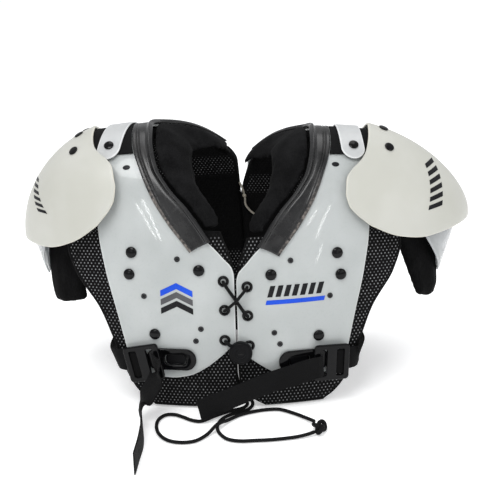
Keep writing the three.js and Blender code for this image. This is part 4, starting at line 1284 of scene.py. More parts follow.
@dataclass(frozen=True)
class BodyLiners:
    """The thick spacer cloth under one plate."""

    wall: float = 13.5
    top: float = -3.4
    seam_in: float = 5.4
    seam_depth: float = 0.8
    trim_start: float = 0.196
    arm: Curve = edge([
        (0, 0.62), (0.003, 0.705), (0.009, 0.775), (0.021, 0.835), (0.046, 0.905), (0.0825, 0.995),
        (0.131, 1.16), (0.172, 1.215), (0.234, 1.2), (0.36, 1.07), (0.5, 1.04), (0.64, 1.07), (0.766, 1.147),
        (0.828, 1.167), (0.869, 1.133), (0.9175, 1), (0.9537, 0.9), (0.9858, 0.817), (0.994, 0.747),
        (1, 0.647),
    ])
    front: dict[str, Curve] = by_side(
        edge([
            (0, 0.05), (0.003, 0.016), (0.01, 0.002), (0.055, 0.002), (0.07, 0.006), (0.129, 0.006),
            (0.1935, 0.09),
        ]),
        edge([
            (0, 0.19), (0.002, 0.115), (0.006, 0.05), (0.0142, 0.008), (0.025, 0.002), (0.055, 0.002),
            (0.07, 0.006), (0.129, 0.006), (0.1935, 0.09),
        ]),
    )
    rear: dict[str, Curve] = by_side(
        edge([
            (0.703, 0.055), (0.72, 0.022), (0.742, 0.001), (0.8, 0.001), (0.9, 0.001), (0.98, 0.03),
            (1, 0.075),
        ]),
        edge([
            (0.684, 0.14), (0.703, 0.1), (0.74, 0.055), (0.772, 0.02), (0.8, 0.001), (0.9, 0.001),
            (0.98, 0.03), (1, 0.075),
        ]),
    )

    def neck(self, half: Half, turn: float) -> float:
        """Finds its neck edge, which follows the trim between the chest and the back.

        Args:
            half: the half.
            turn: the way along the arch.

        Returns:
            The distance from the mid-plane.
        """
        if turn < self.trim_start:
            return self.front[half.name](turn)
        if turn > TRIM_END - half.neck_cut:
            return self.rear[half.name](turn)
        return TRIM_NECK(turn) + 0.6

    def build(self, bench: Bench, half: Half) -> None:
        """Makes the liner.

        Args:
            bench: where it is finished.
            half: the half.
        """
        layer = ArchLayer(half, lambda t: self.neck(half, t), self.arm, lambda u: 0.0, lambda u: 1.0)
        shell = Shell(
            layer.surface, lambda u, v: self.wall / 2 - 0.2, lambda u, v: self.top - self.wall / 2,
            64, 260, 5.5, layer.flat, lambda u, v, off: -self.seam_depth * bell(off, self.seam_in, 1.1),
        )
        piece = bench.side(half, "liner_pad", shell.build(), Look.LINER, "liner", "body_liner")


@dataclass(frozen=True)
class NeckTrims:
    """The rubber strip over the plate's neck edge, with a lip, two grooves and a hem."""

    half_wall: float = 1.35
    gap: float = 0.6
    lip: float = 2.5
    groove: float = 0.9
    hem: float = 0.4

    def build(self, bench: Bench, half: Half) -> None:
        """Makes the trim.

        Args:
            bench: where it is finished.
            half: the half.
        """
        layer = ArchLayer(
            half, TRIM_NECK, TRIM_ARM,
            lambda u: mix(0.18, 0.164, u), lambda u: mix(TRIM_END, 0.72, u) - half.neck_cut,
        )

        def wide(v: float) -> float:
            """The width of the strip at a share along."""
            turn = layer.turn(0.5, v)
            return TRIM_ARM(turn) - TRIM_NECK(turn)

        def profile(u: float, v: float, off: float) -> float:
            """Shapes the strip's outer face: grooves over the crest, a hem at the front and back.

            Args:
                u: the share across.
                v: the share along.
                off: the distance from the edge, which it doesn't need.

            Returns:
                How much is added to the wall.
            """
            width = wide(v)
            neck, arm = u * width, (1 - u) * width
            turn = layer.turn(u, v)
            crest = 1 / (1 + math.exp(-(turn - 0.27) * 60)) / (1 + math.exp((turn - 0.66) * 60))
            lip = self.lip * bell(neck, 3.6, 2.0) - 0.4 * bell(neck, 7.6, 1.6)
            grooves = self.groove * (bell(arm, 4.4, 0.6) + bell(arm, 7.0, 0.6)) * crest
            step = self.hem / (1 + math.exp(-(arm - 4.2) * 5)) * (1 - crest)
            return lip - grooves + step - self.hem

        shell = Shell(
            layer.surface, lambda u, v: self.half_wall, lambda u, v: self.gap + self.half_wall, 70, 190, 1.3,
            lambda u, v: ((1 - u) * wide(v), layer.run(layer.turn(u, v))), profile,
        )
        bench.side(half, "trim_strip", shell.build(), Look.TRIM, "trim", "neck_trim", 80)


@dataclass(frozen=True)
class NeckPads:
    """The soft roll between the trim and the neck."""

    wall: float = 11.0
    inner: Curve = edge([
        (0.19, 0.16), (0.2, 0.13), (0.208, 0.112), (0.216, 0.108), (0.228, 0.122), (0.242, 0.152),
        (0.262, 0.195), (0.3, 0.245), (0.34, 0.265), (0.4, 0.275), (0.5, 0.275), (0.556, 0.235),
        (0.6, 0.155), (0.629, 0.1), (0.66, 0.07), (0.703, 0.035),
    ])
    fall: Curve = smooth_table([(0.2, 15.0), (0.28, 22.0), (0.4, 31.0), (0.55, 31.0), (0.703, 16.0)])

    def build(self, bench: Bench, half: Half) -> None:
        """Makes the pad and puffs it up.

        Args:
            bench: where it is finished.
            half: the half.
        """
        layer = ArchLayer(
            half, self.inner, lambda t: TRIM_NECK(t) - 0.8, lambda u: 0.2, lambda u: 0.7 - half.neck_cut,
        )

        def thick(u: float) -> float:
            """Half the roll's thickness at a share across."""
            return self.wall * (0.55 + 0.45 * math.sin(math.pi * u)) / 2 - 0.5

        def middle(u: float, v: float) -> float:
            """The lift of the roll's middle: it falls towards the neck and ripples."""
            ripple = 0.7 * noise.noise(Vector((u * 4, v * 14, half.sign)))
            return 1.0 - self.fall(layer.turn(u, v)) * (1 - u) ** 1.5 - thick(u) - 0.5 + ripple

        shell = Shell(layer.surface, lambda u, v: thick(u), middle, 26, 150, 3.6, layer.flat)
        piece = bench.side(half, "neck_roll", shell.build(), Look.NECK_PAD, "neck_pad", "neck_pad")
        inflate(piece, 0.0035, 0.0018)


@dataclass(frozen=True)
class ShoulderWebs:
    """The black web over the crest and the white tab on it."""

    reach: float = 149.0
    half_wall: float = 0.95
    web_lift: float = 1.6
    tab_lift: float = 4.2
    tab_width: float = 25.0
    tab_start: float = 0.352
    tab_end: float = 0.648

    def build(self, bench: Bench, half: Half) -> None:
        """Makes the web and the tab.

        Args:
            bench: where they are finished.
            half: the half.
        """
        web = ArchLayer(
            half, lambda t: TRIM_ARM(t) + 0.6, lambda t: self.reach, lambda u: 0.368, lambda u: 0.65,
        )
        cloth = Shell(
            web.surface, lambda u, v: self.half_wall, lambda u, v: self.web_lift, 30, 60, 0.9,
            lambda u, v: web.flat(u, v)[::-1],
        )
        tab = ArchLayer(
            half, lambda t: self.tab_edge(half, t, -1), lambda t: self.tab_edge(half, t, 1),
            lambda u: self.tab_start, lambda u: self.tab_end,
        )
        plate = Shell(
            tab.surface, lambda u, v: self.half_wall, lambda u, v: self.tab_lift, 18, 90, 0.9, tab.flat,
        )
        bench.side(half, "web_cloth", cloth.build(), Look.WEB, "web", "shoulder_web")
        bench.side(half, "tab_plate", plate.build(), Look.TAB, "tab", "web_tab")

    def tab_edge(self, half: Half, turn: float, way: int) -> float:
        """The tab's edge on one side: its ends are round and it leans across the crest."""
        left = max(0.0, min(turn - self.tab_start, self.tab_end - turn)) / 0.032
        return half.tab_out + half.tab_lean * (0.5 - turn) / 0.14 + (
            way * self.tab_width / 2 * max(0.12, math.sqrt(1 - (1 - min(left, 1.0)) ** 2))
        )


@dataclass(frozen=True)
class Caps:
    """The ivory epaulet: a rounded cap hung over the arm.

    A span has the centre's distance out, the reach, the pitch of the top, the sag of the rim,
    the rise and the roundness. The rim gives the lowest pitch by azimuth, and the spread the
    widest azimuth by the share of the height, all in degrees.
    """

    height: float = 170.0
    depth: float = 94.0
    wall: float = 2.8
    corner_fall: float = 9.0
    span: dict[str, tuple[float, ...]] = by_side(
        (110.0, 122.0, 71.5, 2.0, 120.0, 1.9), (98.0, 145.0, 66.0, 3.5, 126.13, 1.66),
    )
    rim: Curve = smooth_table([(0, -1), (34, 1), (52, 7), (70, 20), (84, 32)])
    spread: Curve = smooth_table([
        (0, 69), (0.1, 77.5), (0.2, 80.5), (0.4, 81), (0.55, 79.5), (0.7, 77.5), (0.8, 75), (0.9, 68),
        (1, 48),
    ])

    def point(self, half: Half, azimuth: float, up: float, inset: float) -> Vector:
        """Finds a point of the cap.

        Args:
            half: the half.
            azimuth: the direction from the arm's axis, in degrees.
            up: the share of its height.
            inset: how far below the outer face it lies.

        Returns:
            The point.
        """
        out, reach, top, sag, rise, power = self.span[half.name]
        top -= self.corner_fall * (azimuth / self.spread(up)) ** 2
        pitch = math.radians(mix(self.rim(abs(azimuth)) - sag, top, up))
        a = math.radians(azimuth)
        way = Vector((math.cos(pitch) * math.cos(a), math.cos(pitch) * math.sin(a), math.sin(pitch)))
        total = (
            abs(way.x / reach) ** power + abs(way.y / self.depth) ** power + abs(way.z / rise) ** power
        )
        radius = total ** (-1 / power) - inset
        return half.hinged(half.cap, Vector((out, 0, self.height)) + way * radius)

    def surface(self, half: Half, u: float, v: float, lift: float) -> Vector:
        """A point of the cap by shares across and up."""
        spread = self.spread(v)
        return self.point(half, mix(-spread, spread, u), v, -lift)

    def build(self, bench: Bench, half: Half) -> None:
        """Makes the cap.

        Args:
            bench: where it is finished.
            half: the half.
        """
        shell = Shell(
            lambda u, v, lift: self.surface(half, u, v, lift),
            lambda u, v: self.wall / 2, lambda u, v: -self.wall / 2, 90, 60, 1.4,
            relief=lambda u, v, off: 0.25 * bell(off, 2.6, 1.4),
        )
        bench.side(half, "cap_shell", shell.build(), Look.EPAULET, "epaulet", "epaulet")


CAPS = Caps()


@dataclass(frozen=True)
class ArmWall:
    """A curved wall round the arm, described level by level from its top.

    A level has its height, its centre's distance out, its reach, its depth and its azimuth.
    """

    levels: tuple[tuple[float, float, float, float, float], ...]
    foot_rise: float = 0.0

    def surface(self, half: Half, hang: Hang) -> Surface:
        """Makes the wall's surface; the share along runs down.

        Args:
            half: the half.
            hang: how the wall hangs.

        Returns:
            The surface, its lift measured outwards from the outer face.
        """
        last = len(self.levels) - 1
        height, centre, reach, depth, azimuth = (
            smooth_table([(i / last, level[k]) for i, level in enumerate(self.levels)]) for k in range(5)
        )

        def at(u: float, v: float, lift: float) -> Vector:
            """A point of the wall, by shares across and along and a lift."""
            angle = math.radians((2 * u - 1) * azimuth(v))
            return half.hinged(hang, Vector((
                centre(v) + (reach(v) + lift) * math.cos(angle),
                (depth(v) + lift) * math.sin(angle),
                height(v) + self.foot_rise * v * abs(2 * u - 1) ** 1.5,
            )))

        return at


@dataclass(frozen=True)
class Cups:
    """The clear cup under the epaulet; a row is a level of its wall and its share of the flare."""

    wall: float = 2.0
    top: dict[str, float] = by_side(254.5, 266.0)
    rows: tuple[tuple[float, ...], ...] = (
        (247, 164, 21, 26, 60, 0), (233, 160, 34, 38, 62, 0.25), (213, 154, 56, 49, 62, 0.5),
        (190, 151, 66, 54, 60, 0.9), (168, 150, 67.5, 55, 46, 1), (146, 150, 65, 53.5, 30, 0.65),
        (128, 150, 62, 51, 18, 0.3), (116, 150, 60.5, 50, 7, 0),
    )

    def build(self, bench: Bench, half: Half) -> None:
        """Makes the cup.

        Args:
            bench: where it is finished.
            half: the half.
        """
        levels = []
        for i, (height, centre, reach, depth, azimuth, flare) in enumerate(self.rows):
            wide = azimuth * mix(1.0, half.cup.spread, min(1.0, max(0.0, (190 - height) / 50)))
            tall = self.top[half.name] if i == 0 else height
            levels.append((tall, centre, reach + half.cup.flare * flare, depth, wide))
        wall = ArmWall(tuple(levels)).surface(half, half.cup)
        shell = Shell(
            wall, lambda u, v: self.wall / 2, lambda u, v: -self.wall / 2, 50, 60, 1.0,
            relief=lambda u, v, off: 0.5 * bell(off, 4.0, 1.6),
        )
        bench.side(half, "cup_shell", shell.build(), Look.CUP, "cup", "shoulder_cup")


@dataclass(frozen=True)
class ArmPads:
    """The cloth pad that hangs inside the cup; a row is a level of its wall."""

    wall: float = 12.0
    top_spread: float = 74.0
    swell: dict[str, float] = by_side(2.3, 3.1)
    low_spread: dict[str, float] = by_side(74.0, 52.0)
    rows: tuple[tuple[float, ...], ...] = (
        (232, 158, 32, 28), (212, 153, 46, 38), (185, 150, 54, 43), (150, 150, 56.5, 44),
        (118, 150, 56, 43.5), (93, 150, 53, 42),
    )

    def build(self, bench: Bench, half: Half) -> None:
        """Makes the pad, puffs it up and folds its cloth.

        Args:
            bench: where it is finished.
            half: the half.
        """
        levels = []
        top, foot = self.rows[0][0], self.rows[-1][0]
        for height, centre, reach, depth in self.rows:
            wide = mix(self.top_spread, self.low_spread[half.name], ((top - height) / (top - foot)) ** 3.0)
            levels.append((height, centre, reach + self.swell[half.name], depth, wide))
        wall = ArmWall(tuple(levels), 14.0).surface(half, half.pad)

        def fold(u: float, v: float) -> float:
            """Folds the cloth, less at its top.

            Args:
                u: the share across.
                v: the share along.

            Returns:
                How far the cloth stands out.
            """
            drift = 0.05 * math.sin(v * 5 + half.sign)
            deep = -1.5 * abs(math.sin(math.pi * (u + drift) * 4.5)) ** 6
            soft = 1.1 * noise.noise(Vector((u * 9, v * 3.4, 4 + half.sign)))
            return (deep + soft) * min(1.0, 4 * v + 0.3)

        shell = Shell(
            wall, lambda u, v: self.wall / 2 - 1.1, lambda u, v: -self.wall / 2 + fold(u, v) * 0.7,
            84, 70, 4.8,
        )
        piece = bench.side(half, "arm_pad", shell.build(), Look.ARM_PAD, "deltoid", "deltoid_pad")
        inflate(piece, 0.0035, 0.0016)


def inflate(piece: bpy.types.Object, voxel: float, cap: float) -> None:
    """Puffs a padded piece with cloth under pressure and applies the result.

    Args:
        piece: the piece, which keeps its name and finish.
        voxel: the size of the remesh, in metres.
        cap: how far a point may move, in metres.
    """
    scene = bpy.context.scene
    remesh = piece.modifiers.new("remesh", "REMESH")
    remesh.mode = "VOXEL"
    remesh.voxel_size = voxel
    remesh.use_smooth_shade = True
    apply_modifiers(piece)
    start = [vert.co.copy() for vert in piece.data.vertices]
    cloth = piece.modifiers.new("cloth", "CLOTH")
    cloth.settings.use_pressure = True
    cloth.settings.uniform_pressure_force = 4.0
    cloth.settings.quality = 4
    cloth.settings.effector_weights.gravity = 0.0
    cloth.collision_settings.use_collision = False
    cloth.point_cache.frame_start = 1
    cloth.point_cache.frame_end = CLOTH_STEPS
    for step in range(1, CLOTH_STEPS + 1):
        scene.frame_set(step)
    apply_modifiers(piece)
    scene.frame_set(1)
    for vert, before in zip(piece.data.vertices, start):
        moved_by = vert.co - before
        if moved_by.length > cap:
            vert.co = before + moved_by.normalized() * cap
    smooth = piece.modifiers.new("smooth", "SUBSURF")
    smooth.levels = smooth.render_levels = 1
    apply_modifiers(piece)
    piece.data.shade_smooth()


def apply_modifiers(piece: bpy.types.Object) -> None:
    """Replaces a piece's mesh by what its modifiers make of it.

    Args:
        piece: the piece.
    """
    graph = bpy.context.evaluated_depsgraph_get()
    made = bpy.data.meshes.new_from_object(piece.evaluated_get(graph))
    old = piece.data
    piece.modifiers.clear()
    piece.data = made
    name = old.name
    bpy.data.meshes.remove(old)
    made.name = name


# Rivets, eyelets and strap hardware


@dataclass(frozen=True)
class Hardware:
    """Rivets, eyelets and the strap fittings of one half.

    Domes and eyelets have a name, a share of the half width and a share of the height, tab
    rivets a distance out and a turn, and studs and holes a distance out and a height.
    """

    dome: float = 12.0
    dome_crown: float = 0.46
    small_dome: float = 10.5
    small_crown: float = 0.2
    ring_radius: float = 4.4
    ring_wire: float = 1.6
    ring_height: float = 2.0
    anchor: tuple[float, float, float] = (54.0, 24.0, 3.5)
    window: tuple[float, float, float] = (54.0 * 0.42, 11.5, 4.0)
    window_off: float = 0.085
    pin: float = 8.5
    pin_out: float = 15.5
    buckle: tuple[float, float, float] = (39.0, 40.0, 4.5)
    slot: tuple[float, float, float] = (8.0, 30.0, 1.5)
    slot_out: float = 9.5
    buckle_turn: dict[str, float] = by_side(12.0, -3.0)
    domes: tuple[tuple[str, float, float], ...] = (
        ("upper", 0.72, 0.606), ("middle", 0.742, 0.525), ("inner", 0.25, 0.539), ("lower", 0.578, 0.296),
    )
    eyelets: tuple[tuple[str, float, float], ...] = (
        ("top", 0.082, 0.498), ("middle", 0.08, 0.39), ("lower", 0.085, 0.274),
    )
    tab_rivets: tuple[tuple[str, float, float], ...] = (("front", 129.0, 0.394), ("rear", 117.0, 0.588))
    cap_rivets: tuple[str, ...] = ("front", "mid", "rear")
    studs: dict[str, tuple[Pair, ...]] = by_side(
        ((59.9, 168.3), (96.6, 127.9), (37.6, 93.9), (43.4, 80.4)),
        ((58.4, 163.2), (99.5, 122.2), (39.6, 87.1), (45.3, 74.1)),
    )
    holes: dict[str, Pair] = by_side((111.0, 255.8), (109.4, 252.0))

    def dome_profile(self, diameter: float, crown: float) -> list[Pair]:
        """Makes the outline of a domed head, with a small step at its foot.

        Args:
            diameter: its diameter.
            crown: how high it is, as a share of its radius.

        Returns:
            Pairs of radius and height.
        """
        r = diameter / 2
        curve = [(r * math.cos(a), r * (0.12 + crown * math.sin(a))) for a in
                 [math.pi / 2 * k / 10 for k in range(11)]]
        curve[-1] = (0.0, curve[-1][1])
        return [(0.0, 0.0), (r * 0.97, 0.0), (r, r * 0.05), *curve]

    def chest(self, half: Half, out: float, rise: float, lift: float = 0.3) -> tuple[Vector, Vector]:
        """A seat on the chest plate."""
        return VAULT.place(half, out * VAULT.width, VAULT.turn_at_rise(rise), lift)

    def build(self, bench: Bench, half: Half) -> None:
        """Makes the rivets, eyelets, studs and strap fittings.

        Args:
            bench: where they are finished.
            half: the half.
        """
        large = self.dome_profile(self.dome, self.dome_crown)
        small = self.dome_profile(self.small_dome, self.small_crown)

        def dome(name: str, profile: Pairs, seat: Matrix, node: str) -> None:
            """Makes one dome on its seat."""
            bench.side(half, name, moved(spun(profile), seat), Look.DOME, "hardware", node, 60)

        for name, out, rise in self.domes:
            dome(f"{name}_dome", large, seat_matrix(*self.chest(half, out, rise)), f"{name}_rivet")
        for name, out, turn in self.tab_rivets:
            seat = seat_matrix(*VAULT.place(half, out, turn, 5.5))
            dome(f"tab_{name}_dome", small, seat, f"tab_{name}_rivet")
        for name in self.cap_rivets:
            node = f"epaulet_{name}_rivet"
            dome(f"cap_{name}_dome", small, seat_matrix(*self.cap_seat(bench, half, node)), node)
        for name, out, rise in self.eyelets:
            ring = moved(spun(self.ring_profile()), seat_matrix(*self.chest(half, out, rise)))
            bench.side(half, f"{name}_ring", ring, Look.HARDWARE, "hardware", f"{name}_eyelet", 70)
        for i, (out, height) in enumerate(self.studs[half.name]):
            seat = seat_matrix(*VAULT.place(half, out, VAULT.chest_turn(half, out, height), 0.1))
            self.stud(bench, half.label(f"stud_{i + 1}"), seat)
        out, height = self.holes[half.name]
        at, normal = VAULT.place(half, out, VAULT.chest_turn(half, out, height), 0.05)
        hole = spun([(0, 0), (2.6, 0), (2.7, 0.15), (2.4, 0.3), (0, 0.3)])
        hole = moved(hole, Matrix.Diagonal((1.5, 1, 1, 1)))
        bench.side(half, "oval_hole", moved(hole, seat_matrix(at, normal)), Look.INK, "hardware")
        self.fittings(bench, half)

    def cap_seat(self, bench: Bench, half: Half, node: str) -> tuple[Vector, Vector]:
        """Finds where a cap rivet sits: on the cap, under the node's own place.

        Args:
            bench: knows where the design frame lies.
            half: the half.
            node: the rivet's node, without its side.

        Returns:
            The point and the outward direction there.
        """
        low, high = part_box(half.label(node))
        middle = Vector([(a + b) / 2 for a, b in zip(low, high)])
        design = (middle - bench.origin) * 1000
        _, azimuth, up = min(
            ((CAPS.point(half, azimuth, up / 40, 0.0) - design).length, azimuth, up / 40)
            for azimuth in range(-60, 61, 3) for up in range(16, 41)
        )
        step = 0.02
        for _ in range(5):
            near = [(azimuth + da, up + du) for da in (-1.2, 0, 1.2) for du in (-step, 0, step)]
            azimuth, up = min(near, key=lambda spot: (CAPS.point(half, *spot, 0.0) - design).length)
            step /= 2
        here = CAPS.point(half, azimuth, up, 0.0)
        a = CAPS.point(half, azimuth + 1, up, 0.0) - here
        b = CAPS.point(half, azimuth, up + 0.01, 0.0) - here
        normal = a.cross(b).normalized()
        if normal.z < 0:
            normal.negate()
        return here + normal * 0.3, normal

    def ring_profile(self) -> list[Pair]:
        """The section of an eyelet."""
        turns = [math.pi * k / 12 for k in range(13)]
        return [
            (self.ring_radius + self.ring_wire * math.cos(a), self.ring_height * math.sin(a)) for a in turns
        ]

    def stud(self, bench: Bench, name: str, seat: Matrix) -> None:
        """Makes a small tubular rivet: a dark ring round its hollow, with a darker disc in the hollow as
        painted shade.

        Args:
            bench: where it is finished.
            name: its name.
            seat: its place.
        """
        ring = [(0, 0), (3.1, 0), (3.1, 0.3), (2.7, 0.95), (2.0, 1.1), (1.5, 0.8), (1.3, 0.35), (0, 0.25)]
        bench.finish(name, moved(spun(ring), seat), Look.STUD, "hardware")
        # Painted shade: a dark disc in the rivet's hollow, where shade falls.
        shaded_hollow = [(0, 0.3), (1.3, 0.4), (1.2, 0.5), (0, 0.55)]
        bench.finish(f"{name}_core", moved(spun(shaded_hollow), seat), Look.INK, "hardware")

    def fittings(self, bench: Bench, half: Half) -> None:
        """Makes the slotted anchor, its rivet and the three-bar buckle.

        Args:
            bench: where they are finished.
            half: the half.
        """
        length, width, wall = self.anchor
        centre = -half.sign * length * self.window_off
        opening = rounded_outline(*self.window)
        window = [p + Vector((centre, 0, 0)) for p in opening]
        anchor = slab(rounded_outline(length, width, width * 0.48), [window], wall, 0.9)
        frame = seat_matrix(*self.chest(half, 70 / VAULT.width, 0.201))
        bench.side(half, "anchor_loop", moved(anchor, frame), Look.HARDWARE, "hardware", "strap_anchor", 35)
        # Painted shade, in part: a dark inset in the anchor's window stands for the strap's black loop there
        # and the shadow over it.
        shade_inset = slab([p * 0.95 for p in opening], [], 0.7, 0.15)
        shade_inset = moved(shade_inset, Matrix.Translation((centre, 0, 0.1)))
        bench.side(half, "anchor_recess", moved(shade_inset, frame), Look.LOCK, "hardware", "", 35)
        pin = spun(self.dome_profile(self.pin, self.dome_crown))
        pin = moved(pin, Matrix.Translation((half.sign * self.pin_out, 0, wall)))
        bench.side(half, "anchor_pin", moved(pin, frame), Look.HARDWARE, "hardware", "", 60)
        slots = [
            [p + Vector((way * self.slot_out, 0, 0)) for p in rounded_outline(*self.slot)] for way in (-1, 1)
        ]
        length, width, wall = self.buckle
        buckle = slab(rounded_outline(length, width, 4), slots, wall, 1.1)
        at, normal = self.chest(half, 98 / VAULT.width, 0.189, 5.0)
        frame = seat_matrix(at, normal, math.radians(self.buckle_turn[half.name]))
        wound = slab(rounded_outline(7.2, 27, 1.2), [], 2.6, 0.8)
        wound = moved(wound, Matrix.Translation((half.sign * self.slot_out, 0, 0.5)))
        bench.side(half, "buckle_web", moved(wound, frame), Look.WEB, "hardware", "", 35)
        bench.side(half, "buckle_frame", moved(buckle, frame), Look.HARDWARE, "hardware", "strap_buckle", 35)


def slab(outline: list[Vector], holes: list[list[Vector]], depth: float, soft: float) -> Mesh:
    """Makes a flat moulding with holes and rounded edges.

    Args:
        outline: its outer edge, in the XY plane.
        holes: the edges of its holes.
        depth: its thickness, above the plane.
        soft: the radius of its edges.

    Returns:
        The mesh, closed.
    """
    bm = bmesh.new()
    edges = []
    for loop in (outline, *holes):
        verts = [bm.verts.new(point) for point in loop]
        edges += [bm.edges.new(pair) for pair in zip(verts, verts[1:] + verts[:1])]
    bmesh.ops.triangle_fill(bm, use_beauty=True, edges=edges)
    made = bmesh.ops.extrude_face_region(bm, geom=list(bm.faces))["geom"]
    bmesh.ops.translate(bm, vec=(0, 0, depth), verts=[v for v in made if isinstance(v, bmesh.types.BMVert)])
    bmesh.ops.recalc_face_normals(bm, faces=bm.faces)
    corners = [e for e in bm.edges if len(e.link_faces) == 2 and e.calc_face_angle(0) > 1.0]
    bmesh.ops.bevel(
        bm, geom=corners, offset=soft, segments=3, profile=0.5, affect="EDGES", clamp_overlap=True,
        material=-1,
    )
    return closed(bm, 1e-5)


# Straps and laces


@dataclass
class Ribbon:
    """A flat web along a route; each row has a point, the way across and a width."""

    rows: list[tuple[Vector, Vector, float]]
    points: list[Vector] = field(init=False)
    ways: list[Vector] = field(init=False)
    widths: list[float] = field(init=False)
    run: list[float] = field(init=False)

    def __post_init__(self) -> None:
        """Draws the smooth route."""
        at = [row[0] for row in self.rows]
        chain = [2 * at[0] - at[1], *at, 2 * at[-1] - at[-2]]
        self.points, self.ways, self.widths = [], [], []
        steps = 14
        for i in range(len(at) - 1):
            a, b, c, d = chain[i:i + 4]
            for k in range(steps + (i == len(at) - 2)):
                t = k / steps
                square = (2 * a - 5 * b + 4 * c - d) * t**2
                cube = (3 * b - a - 3 * c + d) * t**3
                ease = t * t * (3 - 2 * t)
                self.points.append(0.5 * (2 * b + (c - a) * t + square + cube))
                self.ways.append(self.rows[i][1].lerp(self.rows[i + 1][1], ease))
                self.widths.append(mix(self.rows[i][2], self.rows[i + 1][2], ease))
        self.run = accumulate(self.points)

    def surface(self, u: float, v: float, lift: float) -> Vector:
        """Finds a point of the web.

        Args:
            u: the share across.
            v: the share along.
            lift: the height above its middle.

        Returns:
            The point.
        """
        distance = v * self.run[-1]
        low = min(max(bisect_right(self.run, distance) - 1, 0), len(self.run) - 2)
        high = low + 1
        share = (distance - self.run[low]) / max(self.run[high] - self.run[low], 1e-9)
        point = self.points[low].lerp(self.points[high], share)
        before, after = self.points[max(low - 1, 0)], self.points[min(high + 1, len(self.points) - 1)]
        ahead = (after - before).normalized()
        way = self.ways[low].lerp(self.ways[high], share)
        way = (way - ahead * way.dot(ahead)).normalized()
        width = mix(self.widths[low], self.widths[high], share)
        return point + way * (u - 0.5) * width + ahead.cross(way) * lift

    def build(self, wall: float) -> Mesh:
        """Makes the web with a thickness."""
        long = self.run[-1]
        return Shell(
            self.surface, lambda u, v: wall / 2, lambda u, v: 0.0, 14, max(30, int(long / 2.4)), wall / 2,
            lambda u, v: ((u - 0.5) * WEB_WIDTH, v * long),
        ).build()


@dataclass(frozen=True)
class Straps:
    """The web that holds a half to the body, and its free end.

    A row of the side has the distance out, the turn or the depth, the lift or the height, and
    the lean. A row of a tail has a point and the way across.
    """

    wall: float = 1.6
    tail_start: dict[str, float] = by_side(22.0, WEB_WIDTH)
    side: tuple[tuple[float, ...], ...] = (
        (107.5, 0.031, 3.1, 0), (112, 0.031, 2, 0), (119, 0.031, 1.8, 0), (124, 0.031, 1.4, 0.1),
        (129, 0.031, 0.2, 0.3), (132, -88, 53, 0.35), (134, -76, 53, 0.3), (134, -45, 53, 0.1),
        (134, 0, 53, 0), (138, 45, 52, 0), (143, 72, 51, 0.25), (140, 88, 50, 0.35),
        (130, 0.968, 5, 0.3), (124, 0.968, 3.4, 0.15), (116, 0.968, 2.2, 0), (104, 0.968, 1.8, 0),
        (92, 0.968, 1.8, 0),
    )
    tails: dict[str, tuple[tuple[float, ...], ...]] = by_side(
        (
            (-90, -112.2, 59, -0.2, 0, 1), (-86.8, -118.9, 58, -0.2, 0, 1),
            (-84, -124, 54, 0.15, -0.15, 0.95), (-88, -128, 43, 0.72, -0.4, 0.5),
            (-96, -131, 29, 0.75, -0.6, 0.3), (-101, -133, 19, 0.5, -0.55, 0.65),
            (-103, -141, 14.5, 0.1, -0.25, 0.95), (-102, -155, 13.1, 0.04, 0, 1),
            (-99.5, -175, 13, -0.03, 0, 1), (-99, -195, 13, -0.05, 0, 1),
            (-100.5, -222, 13, 0, 0, 1), (-102.5, -249, 13, 0, 0, 1),
        ),
        (
            (90.6, -112.4, 49.5, -0.05, 0, 1), (87.5, -118.3, 49, 0, 0, 1),
            (80, -119.6, 48, 0.1, 0, 1), (71, -120.6, 46, 0.15, 0, 1),
            (58, -121, 41.7, 0.25, 0, 1), (44, -122.5, 38.4, 0.2, 0, 1),
            (31.5, -125, 35.5, 0.25, 0, 1), (19.5, -128, 32.3, 0.3, 0.05, 1),
            (3.5, -133, 28, 0.3, 0.08, 1), (-12.5, -138.5, 24, 0.3, 0.1, 1),
            (-28, -144, 20.5, 0.3, 0.12, 1), (-42, -149, 17.5, 0.3, 0.12, 1),
        ),
    )

    def build(self, bench: Bench, half: Half) -> None:
        """Makes the side web and the free end.

        Args:
            bench: where they are finished.
            half: the half.
        """
        rows = []
        for out, where, high, lean in self.side:
            if 0 < where < 1:
                at = VAULT.place(half, out, where, high)[0]
            else:
                at = Vector((half.sign * out + VAULT.drift(where), where, high))
            rows.append((at, Vector((half.sign * lean, 0, 1)), WEB_WIDTH))
        tail = [(Vector(row[:3]), Vector(row[3:]), WEB_WIDTH) for row in self.tails[half.name]]
        tail[0] = (*tail[0][:2], self.tail_start[half.name])
        for name, route, node in (("side_web", rows, "side_strap"), ("web_end", tail, "strap_tail")):
            web = Ribbon(route).build(self.wall)
            bench.side(half, name, web, Look.WEB, "web", node)


